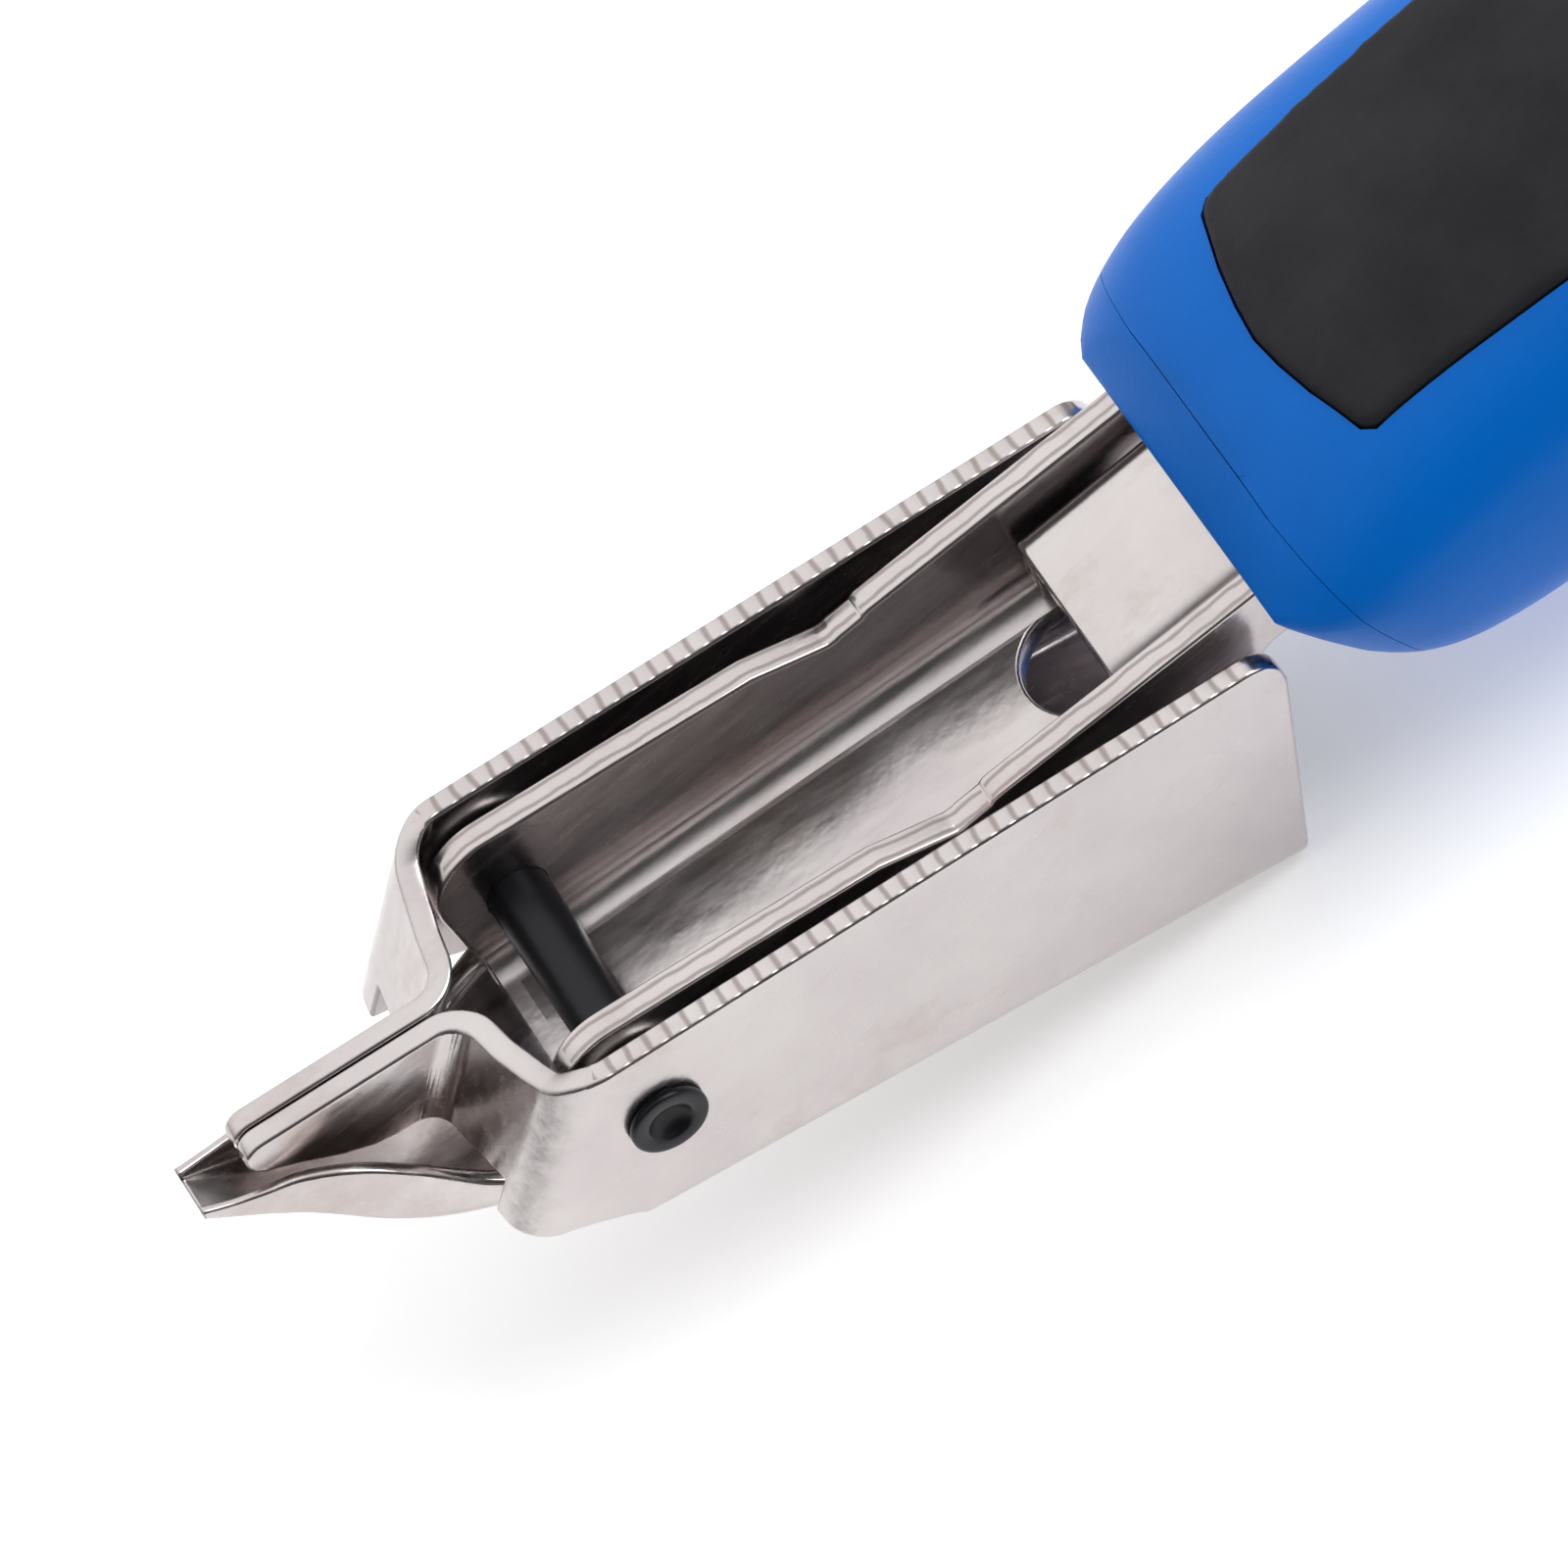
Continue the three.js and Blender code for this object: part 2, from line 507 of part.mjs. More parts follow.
function belowFloor() {
  return solid(new THREE.BoxGeometry(400, 60, 20).translate(0, 0, -10).rotateY(-restTilt)
    .translate(JAW.heelX, 0, JAW.heelZ));
}

function makeShells() {
  const skin = handleBody(SKIN, 0, 0, 0);
  const cavity = handleBody(CAVITY, HANDLE.topWall, HANDLE.sideWall, HANDLE.bottomWall);
  const pocketFloor = handleBody(SKIN, PAD.depth + GAP, PAD.depth + GAP, 0);
  const pocket = padColumn(GAP).subtract(pocketFloor);
  const hollow = skin.subtract(cavity).subtract(strapSlot()).subtract(belowFloor());
  const upperBosses = SCREW.at.map((s, i) => {
    const from = i === 0 ? bossFoot(s) : 0.2;
    return screwBody(s, SCREW.bossR, from, topAt(s) - 3);
  });
  const lowerPosts = SCREW.at.map((s, i) => {
    const to = i === 0 ? bossFoot(s) - TANG.sheet - 4 * GAP : 0.2 - GAP;
    return screwBody(s, SCREW.bossR, -bottomAt(s) + 1.5, to);
  });
  let upper = hollow.intersect(upperRegion(GAP / 4)).subtract(pocket);
  let lower = hollow.subtract(upperRegion(-GAP / 4));
  SCREW.at.forEach((s, i) => {
    const headTop = -bottomAt(s) + SCREW.recess + SCREW.headThick;
    upper = upper.add(upperBosses[i]).subtract(screwBody(s, SCREW.boreR, -20, topAt(s) - 4));
    lower = lower.add(lowerPosts[i]).subtract(screwBody(s, SCREW.boreR, -20, 20))
      .subtract(screwBody(s, SCREW.headR + GAP, -20, headTop + GAP / 2));
  });
  return { upper, lower };
}

// Height above the centre line where the front boss stops, just above the tang.
function bossFoot(s) {
  const [cx, cz] = handleCentre(s);
  return (tangTopAt(cx) - cz) / Math.cos(handleSlope(s)) + 2 * GAP;
}

function makePad() {
  const cap = handleBody(SKIN, -PAD.proud, 0, 0);
  const under = handleBody(SKIN, PAD.depth, PAD.depth, 0);
  return padColumn(0).intersect(cap).subtract(under);
}

function makeScrew(s, i) {
  const head = -bottomAt(s) + SCREW.recess;
  const shaftTop = topAt(s) - 4.4 - i * 0.2;
  const drive = screwBody(s, 1.1, head - 1, head + 0.9, 6);
  return screwBody(s, SCREW.headR, head, head + SCREW.headThick)
    .add(screwBody(s, SCREW.r, head + SCREW.headThick / 2, shaftTop)).subtract(drive);
}

// ---- the tool ----
const tool = new THREE.Group();
const body = new THREE.Group();

function place(name, shape, finish) {
  const geometry = shape.isBufferGeometry ? shape : geometryOf(shape);
  const mesh = new THREE.Mesh(geometry, new THREE.MeshStandardMaterial(finish));
  mesh.name = name;
  body.add(mesh);
}

place('jaw_channel', makeJaw(), PLATE);
place('pivot_pin', makePin(), BLACK);
place('pivot_washer_left', makeWasher(1), SPRING_STEEL);
place('pivot_washer_right', makeWasher(-1), SPRING_STEEL);
place('lever', makeLever(), PLATE);
place('handle_tang', makeTang(), PLATE);
place('tang_rivet_front', makeRivet(RIVET.xs[0]), SPRING_STEEL);
place('tang_rivet_rear', makeRivet(RIVET.xs[1]), SPRING_STEEL);
place('return_spring', makeSpring(), SPRING_STEEL);
place('spring_post', makePost(), SPRING_STEEL);
const shells = makeShells();
place('handle_upper_shell', shells.upper, BLUE);
place('handle_lower_shell', shells.lower, BLUE);
place('grip_pad', makePad(), RUBBER);
place('handle_screw_front', makeScrew(SCREW.at[0], 0), BLACK);
place('handle_screw_rear', makeScrew(SCREW.at[1], 1), BLACK);

// Tip the tool so that heel and tail flat lie on z = 0, then centre it on its length.
body.position.set(-JAW.heelX, 0, -JAW.heelZ);
const tipped = new THREE.Group();
tipped.rotation.y = restTilt;
tipped.add(body);
tool.add(tipped);
tool.updateMatrixWorld(true);
const box = new THREE.Box3().setFromObject(tool, true);
tipped.position.set(-(box.min.x + box.max.x) / 2, 0, -box.min.z);

export default tool;
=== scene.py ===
"""Heavy-duty staple remover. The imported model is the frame; this script gives it its looks.

Head coordinates are the ones that the tool was designed in: millimetres from the pivot pin's axis, x towards
the handle, z out of the open side of the jaw channel. HEAD takes them into the row frame, in metres.
"""

import json
import math

import bmesh
import bpy
from mathutils import Matrix, Vector

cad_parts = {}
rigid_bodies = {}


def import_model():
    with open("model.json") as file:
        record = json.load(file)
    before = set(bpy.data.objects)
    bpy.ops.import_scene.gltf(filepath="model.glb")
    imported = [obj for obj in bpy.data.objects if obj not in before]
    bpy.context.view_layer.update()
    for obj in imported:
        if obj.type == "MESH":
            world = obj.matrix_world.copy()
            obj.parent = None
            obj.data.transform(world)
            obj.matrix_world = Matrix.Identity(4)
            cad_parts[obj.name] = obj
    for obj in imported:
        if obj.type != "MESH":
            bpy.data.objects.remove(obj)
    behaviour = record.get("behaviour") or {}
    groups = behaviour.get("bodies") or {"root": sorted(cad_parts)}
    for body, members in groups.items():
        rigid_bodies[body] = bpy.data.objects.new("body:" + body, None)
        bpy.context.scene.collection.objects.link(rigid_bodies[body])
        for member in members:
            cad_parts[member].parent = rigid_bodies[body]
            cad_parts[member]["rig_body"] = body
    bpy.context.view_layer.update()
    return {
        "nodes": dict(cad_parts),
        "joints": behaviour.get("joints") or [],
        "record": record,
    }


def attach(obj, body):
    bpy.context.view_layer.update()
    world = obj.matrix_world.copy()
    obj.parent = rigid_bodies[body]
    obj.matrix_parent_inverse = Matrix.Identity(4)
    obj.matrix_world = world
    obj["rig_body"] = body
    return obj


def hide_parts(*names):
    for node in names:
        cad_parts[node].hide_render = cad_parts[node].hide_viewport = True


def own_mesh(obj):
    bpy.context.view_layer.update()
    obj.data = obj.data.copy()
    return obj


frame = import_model()
nodes = frame["nodes"]
MM = 0.001

# The tool stands on the jaw channel's heel, so the pin's height gives how far it is tipped.
PIN_AT = Vector(frame["joints"][0]["pos_m"])
HEEL = (31.7, -10.6)
HEEL_TURN = math.asin(PIN_AT.z / MM / math.hypot(*HEEL))
TILT = HEEL_TURN - math.atan2(-HEEL[1], HEEL[0])
HEAD = Matrix.Translation(PIN_AT) @ Matrix.Rotation(TILT, 4, "Y") @ Matrix.Scale(MM, 4)


# ---- mesh tools: shapes are made in head coordinates, in millimetres, and placed at the end ----
def spread(start, end, count):
    return [start + (end - start) * i / count for i in range(count + 1)]


def arc(cx, cy, radius, start, end, count):
    turns = [math.radians(a) for a in spread(start, end, count)]
    return [(cx + radius * math.cos(a), cy + radius * math.sin(a)) for a in turns]


def along(rows):
    """A function through rows of (position, value), straight between rows."""
    def at(x):
        if x <= rows[0][0]:
            return rows[0][1]
        for (x0, y0), (x1, y1) in zip(rows, rows[1:]):
            if x <= x1:
                return y0 + (y1 - y0) * (x - x0) / (x1 - x0)
        return rows[-1][1]
    return at


def curve_through(rows):
    """A smooth function through rows of (position, value)."""
    def slope(a, b):
        return (rows[b][1] - rows[a][1]) / (rows[b][0] - rows[a][0])

    def at(x):
        last = len(rows) - 1
        if x <= rows[0][0]:
            return rows[0][1]
        if x >= rows[last][0]:
            return rows[last][1]
        i = next(k for k in range(last + 1) if rows[k][0] > x) - 1
        (x0, y0), (x1, y1) = rows[i], rows[i + 1]
        first = slope(i - 1, i + 1) if i > 0 else slope(i, i + 1)
        second = slope(i, i + 2) if i + 2 <= last else slope(i, i + 1)
        w = x1 - x0
        t = (x - x0) / w
        return ((2 * t**3 - 3 * t**2 + 1) * y0 + (t**3 - 2 * t**2 + t) * w * first
                + (3 * t**2 - 2 * t**3) * y1 + (t**3 - t**2) * w * second)
    return at


def object_from(bm, name):
    bmesh.ops.recalc_face_normals(bm, faces=bm.faces)
    mesh = bpy.data.meshes.new(name)
    bm.to_mesh(mesh)
    bm.free()
    obj = bpy.data.objects.new(name, mesh)
    bpy.context.scene.collection.objects.link(obj)
    return obj


def settle(obj):
    """Makes the modifiers' result the object's own mesh."""
    graph = bpy.context.evaluated_depsgraph_get()
    obj.data = bpy.data.meshes.new_from_object(obj.evaluated_get(graph))
    obj.modifiers.clear()
    return obj


def joined(obj, other, operation):
    """obj after a boolean with other, which is used up."""
    step = obj.modifiers.new("join", "BOOLEAN")
    step.object, step.operation, step.solver = other, operation, "EXACT"
    settle(obj)
    bpy.data.objects.remove(other)
    return obj


def prism(outline, start, end, place):
    """A closed solid: an outline of (a, b) points from c = start to c = end; place gives the axes' order."""
    bm = bmesh.new()
    rings = [[bm.verts.new(place(a, b, c)) for a, b in outline] for c in (start, end)]
    bm.faces.new(rings[0])
    bm.faces.new(reversed(rings[1]))
    for i in range(len(outline)):
        j = (i + 1) % len(outline)
        bm.faces.new((rings[0][i], rings[1][i], rings[1][j], rings[0][j]))
    return object_from(bm, "tool_solid")


def side_prism(outline, start, end):
    return prism(outline, start, end, lambda x, z, y: (x, y, z))


def plan_prism(outline, start, end):
    return prism(outline, start, end, lambda x, y, z: (x, y, z))


def loft(rings, name="tool_solid", across=False):
    """A closed solid through rings of points, with its ends filled.

    With across, the ends are filled by strips from side to side, so that an end can be bent.
    """
    bm = bmesh.new()
    rows = [[bm.verts.new(p) for p in ring] for ring in rings]
    count = len(rows[0])
    for row, following in zip(rows, rows[1:]):
        for i in range(count):
            j = (i + 1) % count
            bm.faces.new((row[i], row[j], following[j], following[i]))
    for row, ends in ((rows[0], -1), (rows[-1], 1)):
        if not across:
            bm.faces.new(row[::ends])
            continue
        for i in range(-count // 4, count // 4):
            strip = [row[i], row[i + 1], row[count // 2 - i - 1], row[(count // 2 - i) % count]]
            bm.faces.new(list(dict.fromkeys(strip))[::ends])
    return object_from(bm, name)


def turned(profile, name, centre, axis="Y", sides=64):
    """A solid of revolution about a line through centre; the profile is (radius, height) from pole to pole.

    A profile that ends where it starts makes a ring.
    """
    bm = bmesh.new()
    rows = []
    for radius, height in profile:
        if rows and (radius, height) == profile[0]:
            rows.append(rows[0])
        elif radius == 0:
            rows.append([bm.verts.new((0, 0, height))])
        else:
            rows.append([bm.verts.new((*p, height)) for p in arc(0, 0, radius, 0, 360, sides)[:-1]])
    for row, following in zip(rows, rows[1:]):
        for i in range(sides):
            j = (i + 1) % sides
            corners = [row[i % len(row)], row[j % len(row)], following[j % len(following)],
                       following[i % len(following)]]
            bm.faces.new(list(dict.fromkeys(corners)))
    if axis == "Y":
        bmesh.ops.rotate(bm, verts=bm.verts, matrix=Matrix.Rotation(-math.pi / 2, 3, "X"))
    bmesh.ops.translate(bm, verts=bm.verts, vec=centre)
    return object_from(bm, name)


def blank(outline, sheet, rim, on_seam=lambda u, v: False):
    """A flat sheet with rounded rims. Edges on the seam stay open, for a mirrored half to join."""
    bm = bmesh.new()
    face = bm.faces.new([bm.verts.new((u, v, -sheet / 2)) for u, v in outline])
    grown = bmesh.ops.extrude_face_region(bm, geom=[face])
    moved = [g for g in grown["geom"] if isinstance(g, bmesh.types.BMVert)]
    bmesh.ops.translate(bm, verts=moved, vec=(0, 0, sheet))
    bmesh.ops.recalc_face_normals(bm, faces=bm.faces)
    seam_faces = [f for f in bm.faces if abs(f.normal.z) < 0.5
                  and all(on_seam(v.co.x, v.co.y) for v in f.verts)]
    bmesh.ops.delete(bm, geom=seam_faces, context="FACES_ONLY")
    rims = [e for e in bm.edges if len(e.link_faces) == 2
            and abs(abs(e.link_faces[0].normal.z) - abs(e.link_faces[1].normal.z)) > 0.5]
    bmesh.ops.bevel(bm, geom=rims, offset=rim, segments=3, profile=0.5, affect="EDGES", clamp_overlap=False)
    return bm


def cut(bm, point, normal):
    bmesh.ops.bisect_plane(bm, geom=bm.verts[:] + bm.edges[:] + bm.faces[:], dist=1e-5, plane_co=point,
                           plane_no=normal)


def bent(bm, fold):
    for vertex in bm.verts:
        vertex.co = fold(*vertex.co)


def corner_section(half, radius, sheet):
    """How a channel's section folds: the distance from the middle of its web, across the thickness."""
    middle = radius - sheet / 2
    flat = half - radius
    bend_end = flat + middle * math.pi / 2

    def section(v, w):
        side = math.copysign(1, v)
        d = abs(v)
        if d <= flat:
            return v, sheet / 2 - w
        if d >= bend_end:
            return side * (half - sheet / 2 + w), radius + d - bend_end
        turn = (d - flat) / middle
        return side * (flat + (middle + w) * math.sin(turn)), radius - (middle + w) * math.cos(turn)

    def unfolded(height):
        if height >= radius:
            return bend_end + height - radius
        return flat + middle * math.acos(min(1, (radius - height) / middle))

    return section, unfolded, spread(flat, bend_end, 7)


# ---- jaw channel ----
JAW = {"half": 9.3, "sheet": 1.2, "top": 4.9, "rear": 33.4, "front": -2.9, "front_z": -7.1, "corner": 1.8,
       "seam": 0.1, "bend_x": -1.7, "bend_r": 2.0, "bend_turn": math.radians(81), "lean": 0.57, "lean_z": 4.2,
       "flange_z": -1.7, "throat": 6.3}
WEB_SLOPE = (HEEL[1] - JAW["front_z"]) / (HEEL[0] - JAW["front"])
RIM = 0.22


def web_base(x):
    return JAW["front_z"] + WEB_SLOPE * (x - JAW["front"])


BEND = JAW["bend_r"] * JAW["bend_turn"]
FOLD_DROP = JAW["bend_r"] * (1 - math.cos(JAW["bend_turn"]))
WALL_Y = JAW["half"] - JAW["sheet"] / 2
NOSE_Y = (JAW["sheet"] + JAW["seam"]) / 2
FLANGE = (WALL_Y - NOSE_Y - 2 * FOLD_DROP) / math.sin(JAW["bend_turn"])
NOSE_S = 2 * BEND + FLANGE


def front_path(s):
    """The wall's middle, s from where it starts to bend inwards: x, y and how far it has turned."""
    r, full = JAW["bend_r"], JAW["bend_turn"]
    x, y = JAW["bend_x"], WALL_Y
    turn = min(max(s, 0), BEND) / r
    x, y = x - r * math.sin(turn), y - r * (1 - math.cos(turn))
    if s <= BEND:
        return x, y, turn
    run = min(s - BEND, FLANGE)
    x, y = x - run * math.cos(full), y - run * math.sin(full)
    if s <= BEND + FLANGE:
        return x, y, full
    turn = full - min(s - BEND - FLANGE, BEND) / r
    x, y = x - r * (math.sin(full) - math.sin(turn)), y - r * (math.cos(turn) - math.cos(full))
    return x - max(0, s - NOSE_S), y, turn


def leaned(z):
    return JAW["lean"] * (z - JAW["lean_z"])


jaw_section, jaw_unfolded, jaw_corner = corner_section(JAW["half"], JAW["corner"], JAW["sheet"])


def fold_jaw(u, v, w):
    y, height = jaw_section(v, w)
    z = web_base(u) + height
    s = JAW["bend_x"] + leaned(z) - u
    if s <= 0:
        return u, y, z
    x, y, turn = front_path(s)
    return x + leaned(z) - w * math.sin(turn), y + w * math.cos(turn), z


def jaw_blank_outline():
    """Half of the flat blank, round from the web's front to its heel."""
    crest_at = along([(-16.2, 3.4), (-5.4, 3.4), (-4.6, 3.5), (-4.0, 3.9), (-3.4, 4.4), (-2.8, 4.75),
                      (-2.0, 4.9)])
    foot = arc(-7.3, -2.6, 1.2, 165, 240, 5) + [(-6.2, -4.0), (-3.2, -5.6)]
    foot_at = along(foot)

    def unfold(x, z):
        return x, jaw_unfolded(z - web_base(x))

    def on_fold(s, edge_at):
        z = edge_at(front_path(s)[0])
        for _ in range(40):
            z = (z + edge_at(front_path(s)[0] + leaned(z))) / 2
        return unfold(JAW["bend_x"] + leaned(z) - s, z)

    def on_nose(x, z):
        return unfold(x - front_path(NOSE_S)[0] + JAW["bend_x"] - NOSE_S, z)

    throat_s = next(s for s in spread(0, NOSE_S, 400) if front_path(s)[1] < JAW["throat"])
    leg = [on_fold(s, foot_at) for s in spread(0, throat_s, 8)]
    flange = [on_fold(s, lambda x: JAW["flange_z"]) for s in spread(throat_s, NOSE_S, 16)]
    nose_edge = [(-10.6, -1.7), (-11.7, -1.5), (-13.2, -0.75), (-15.0, 0.45), (-16.6, 1.35)]
    nose = [on_nose(x, z) for x, z in nose_edge + arc(-16.2, 2.35, 1.05, 215, 90, 10)]
    crest = [on_fold(s, crest_at) for s in reversed(spread(0, NOSE_S, 30))]
    wall_foot = [unfold(x, foot_at(x)) for x in (-5.6, -4.9, -4.2, -3.5, -3.2)]
    rear_lean = 0.18
    rear = [unfold(HEEL[0] + (z - HEEL[1]) * rear_lean, z) for z in (JAW["top"] - 1.9, -3, -7.5, -9.0, -9.6)]
    corner = [unfold(x, z) for x, z in arc(JAW["rear"] - 0.9, JAW["top"] - 1.6, 1.6, 92, 6, 8)]
    web_rear = HEEL[0] + 0.12
    web = [(web_rear, 0)] + [(JAW["front"], v) for v in (0, jaw_corner[0], jaw_corner[4])]
    return (web + list(reversed(wall_foot)) + leg + flange + nose + crest + corner + rear
            + [(web_rear, jaw_corner[0])])


def make_jaw():
    bm = blank(jaw_blank_outline(), JAW["sheet"], RIM, lambda u, v: abs(v) < 1e-6)
    for v in jaw_corner:
        cut(bm, (0, v, 0), (0, 1, 0))
    lines = spread(0, BEND, 12) + spread(BEND, BEND + FLANGE, 4)[1:] + spread(BEND + FLANGE, NOSE_S, 12)[1:]
    level = 10.0
    skew = 1 - JAW["lean"] * WEB_SLOPE
    for s in lines:
        u = (JAW["bend_x"] - s + leaned(web_base(0) + level)) / skew
        cut(bm, (u, jaw_unfolded(level), 0), (skew, -JAW["lean"], 0))
    bent(bm, fold_jaw)
    half = bm.verts[:] + bm.edges[:] + bm.faces[:]
    copy = bmesh.ops.duplicate(bm, geom=half)
    other = [g for g in copy["geom"] if isinstance(g, bmesh.types.BMVert)]
    for vertex in other:
        vertex.co.y = -vertex.co.y
    bmesh.ops.reverse_faces(bm, faces=[g for g in copy["geom"] if isinstance(g, bmesh.types.BMFace)])
    bmesh.ops.remove_doubles(bm, verts=[v for v in bm.verts if abs(v.co.y) < 1e-4], dist=1e-3)
    return object_from(bm, "jaw_fine")


# ---- lever with its tongue ----
LEVER = {"half": 7.05, "sheet": 1.5, "floor_x": 2, "floor_z": -4.75, "slope": 0.0755, "corner": 3.3,
         "end": 33, "strap_slope": 0.2217, "strap_end": 72, "rear": 34.4, "rear_z": 6.8, "step": 19.2,
         "step_z": 3.4, "strap": 4.0, "strap_deep": 6.2}
HOLE = {"x": 27.7, "y": 0.9, "r": 3.1}
lever_section, lever_unfolded, lever_corner = corner_section(LEVER["half"], LEVER["corner"], LEVER["sheet"])


def floor_at(x):
    return LEVER["floor_z"] + (x - LEVER["floor_x"]) * LEVER["slope"]


def strap_top(x):
    return LEVER["rear_z"] + (x - LEVER["rear"]) * LEVER["strap_slope"]


def fold_lever(u, v, w):
    y, height = lever_section(v, w)
    return u, y, floor_at(u) + height


def lever_outline():
    def unfold(x, z):
        return x, lever_unfolded(z - floor_at(x))

    end, strap_end = LEVER["end"], LEVER["strap_end"]
    wall = [(-3.0, -3.6)] + arc(-0.4, 1.3, 3.3, 190, 90, 18) + [(7, 4.5), (14, 4.32)]
    wall += arc(LEVER["step"] - 1.2, LEVER["step_z"] + 1.0, 1.0, 250, 300, 4)
    wall += arc(LEVER["step"] + 1.3, LEVER["step_z"] - 0.2, 0.95, 140, 105, 4)
    wall += [(LEVER["rear"], LEVER["rear_z"]), (strap_end, strap_top(strap_end))]
    wall += [(x, strap_top(x) - LEVER["strap_deep"]) for x in (strap_end, 41)]
    wall += [(39, strap_top(39) - LEVER["strap"])]
    wall += arc(35.2, strap_top(35.2) - LEVER["strap"] - 1.6, 1.6, 90, 165, 8)
    wall += [(end + 0.15, 0.4), (end + 0.08, -0.6)]
    half = [(-3.0, lever_corner[0])] + [unfold(x, z) for x, z in wall] + [(end, lever_corner[0])]
    notch = [(end, HOLE["y"] + HOLE["r"])] + arc(HOLE["x"], HOLE["y"], HOLE["r"], 90, 270, 24)
    notch += [(end, HOLE["y"] - HOLE["r"])]
    return half + notch + [(x, -v) for x, v in reversed(half)]


# Tongue stations: x, half-width, bottom, rim, floor and side thickness, and how far the rims stand in.
TONGUE = [
    (-20.1, 1.5, 0.9, 1.7, 0.45, 0.5, 0), (-18.6, 1.8, -0.45, 1.35, 0.7, 0.45, 0),
    (-17.2, 2.15, -1.6, 1.15, 0.8, 0.5, 0.1), (-15.4, 2.65, -2.95, 0.9, 0.9, 0.65, 0.3),
    (-13.0, 3.75, -4.5, 0.4, 1.0, 0.8, 0.4), (-10.8, 4.6, -5.45, -1.0, 1.1, 0.9, 0.4),
    (-8.5, 5.35, -5.9, -3.0, 1.2, 1.0, 0.3), (-6.6, 5.9, -5.75, -3.9, 1.3, 1.1, 0.15),
    (-4.6, 6.5, -5.4, -3.6, 1.4, 1.3, 0), (-3.0, 7.05, -5.13, -3.4, 1.5, 1.5, 0),
    (-2.0, 7.05, -5.05, -3.4, 1.5, 1.5, 0)]
tongue_at = [curve_through([(row[0], row[k]) for row in TONGUE]) for k in range(1, 7)]


def tongue_ring(x):
    half, bottom, top, floor, side, tuck = [at(x) for at in tongue_at]
    outer = min(0.75 * half, 0.6 * (top - bottom), 1.8)
    inside = half - side
    inner = max(0.25, min(outer - side * 0.6, 0.8 * inside, 0.7 * (top - bottom - floor)))
    rim = 0.3 * side
    right = [(half - tuck, top - rim)] + arc(half - outer, bottom + outer, outer, 0, -90, 12)
    left = [(-y, z) for y, z in reversed(right)]
    rim_left = [(-half + tuck + 0.3 * rim, top - 0.3 * rim), (-half + tuck + rim, top),
                (-inside + tuck - rim, top), (-inside + tuck - 0.3 * rim, top - 0.3 * rim)]
    bowl = [(-inside + tuck, top - rim)] + arc(-inside + inner, bottom + floor + inner, inner, 180, 270, 12)
    bowl += arc(inside - inner, bottom + floor + inner, inner, -90, 0, 12) + [(inside - tuck, top - rim)]
    rim_right = [(-y, z) for y, z in reversed(rim_left)]
    return [(x, y, z) for y, z in right + left + rim_left + bowl + rim_right]


def make_tongue():
    return loft([tongue_ring(x) for x in spread(TONGUE[0][0], TONGUE[-1][0], 90)])


def make_lever():
    bm = blank(lever_outline(), LEVER["sheet"], RIM)
    for v in lever_corner:
        cut(bm, (0, v, 0), (0, 1, 0))
        cut(bm, (0, -v, 0), (0, 1, 0))
    bent(bm, fold_lever)
    return joined(object_from(bm, "lever_fine"), make_tongue(), "UNION")


# ---- tang ----
TANG = {"half": 5.1, "sheet": 1.2, "corner": 1.5, "front": 27.6, "front_z": 4.0, "height": 5.5, "end": 70,
        "toe": -0.25}
tang_section, tang_unfolded, tang_corner = corner_section(TANG["half"], TANG["corner"], TANG["sheet"])


def tang_top(x):
    return TANG["front_z"] + (x - TANG["front"]) * LEVER["strap_slope"]


def fold_tang(u, v, w):
    y, depth = tang_section(v, w)
    return u, y, tang_top(u) - depth


def make_tang():
    leg = tang_unfolded(TANG["height"])
    toe_x = TANG["front"] + (TANG["toe"] + TANG["height"] - TANG["front_z"]) / LEVER["strap_slope"]
    toe = tang_unfolded(tang_top(TANG["front"]) - TANG["toe"])
    half = [(TANG["front"], toe), (toe_x, leg), (TANG["end"], leg)]
    bm = blank(half + [(x, -v) for x, v in reversed(half)], TANG["sheet"], RIM)
    for v in tang_corner:
        cut(bm, (0, v, 0), (0, 1, 0))
        cut(bm, (0, -v, 0), (0, 1, 0))
    bent(bm, fold_tang)
    return object_from(bm, "tang_fine")


# ---- pivot pin ----
PIN = {"shaft": 1.55, "head": 1.95, "proud": 0.45, "dimple": 1.15, "deep": 0.7}


def make_pin():
    wall = JAW["half"] + 0.1
    tip = wall + PIN["proud"]
    edge = 0.2
    half = [(PIN["shaft"], wall), (PIN["head"] - 0.06, wall), (PIN["head"], wall + 0.06)]
    half += arc(PIN["head"] - edge, tip - edge, edge, 0, 90, 6)
    half += [(PIN["dimple"] + 0.12, tip), (PIN["dimple"], tip - 0.05), (PIN["dimple"] - 0.08, tip - 0.16),
             (PIN["dimple"] * 0.75, tip - 0.42), (PIN["dimple"] * 0.4, tip - 0.62), (0, tip - PIN["deep"])]
    profile = [(r, -h) for r, h in reversed(half)] + half
    return turned(profile, "pin_fine", (0, 0, 0))


# ---- handle ----
HANDLE = {"x": 35.1, "z": 4.8, "length": 115, "slope": math.radians(12.5), "end_slope": math.radians(4),
          "power": 2.6, "top_wall": 4.2, "side_wall": 3.0, "bottom_wall": 2.7}
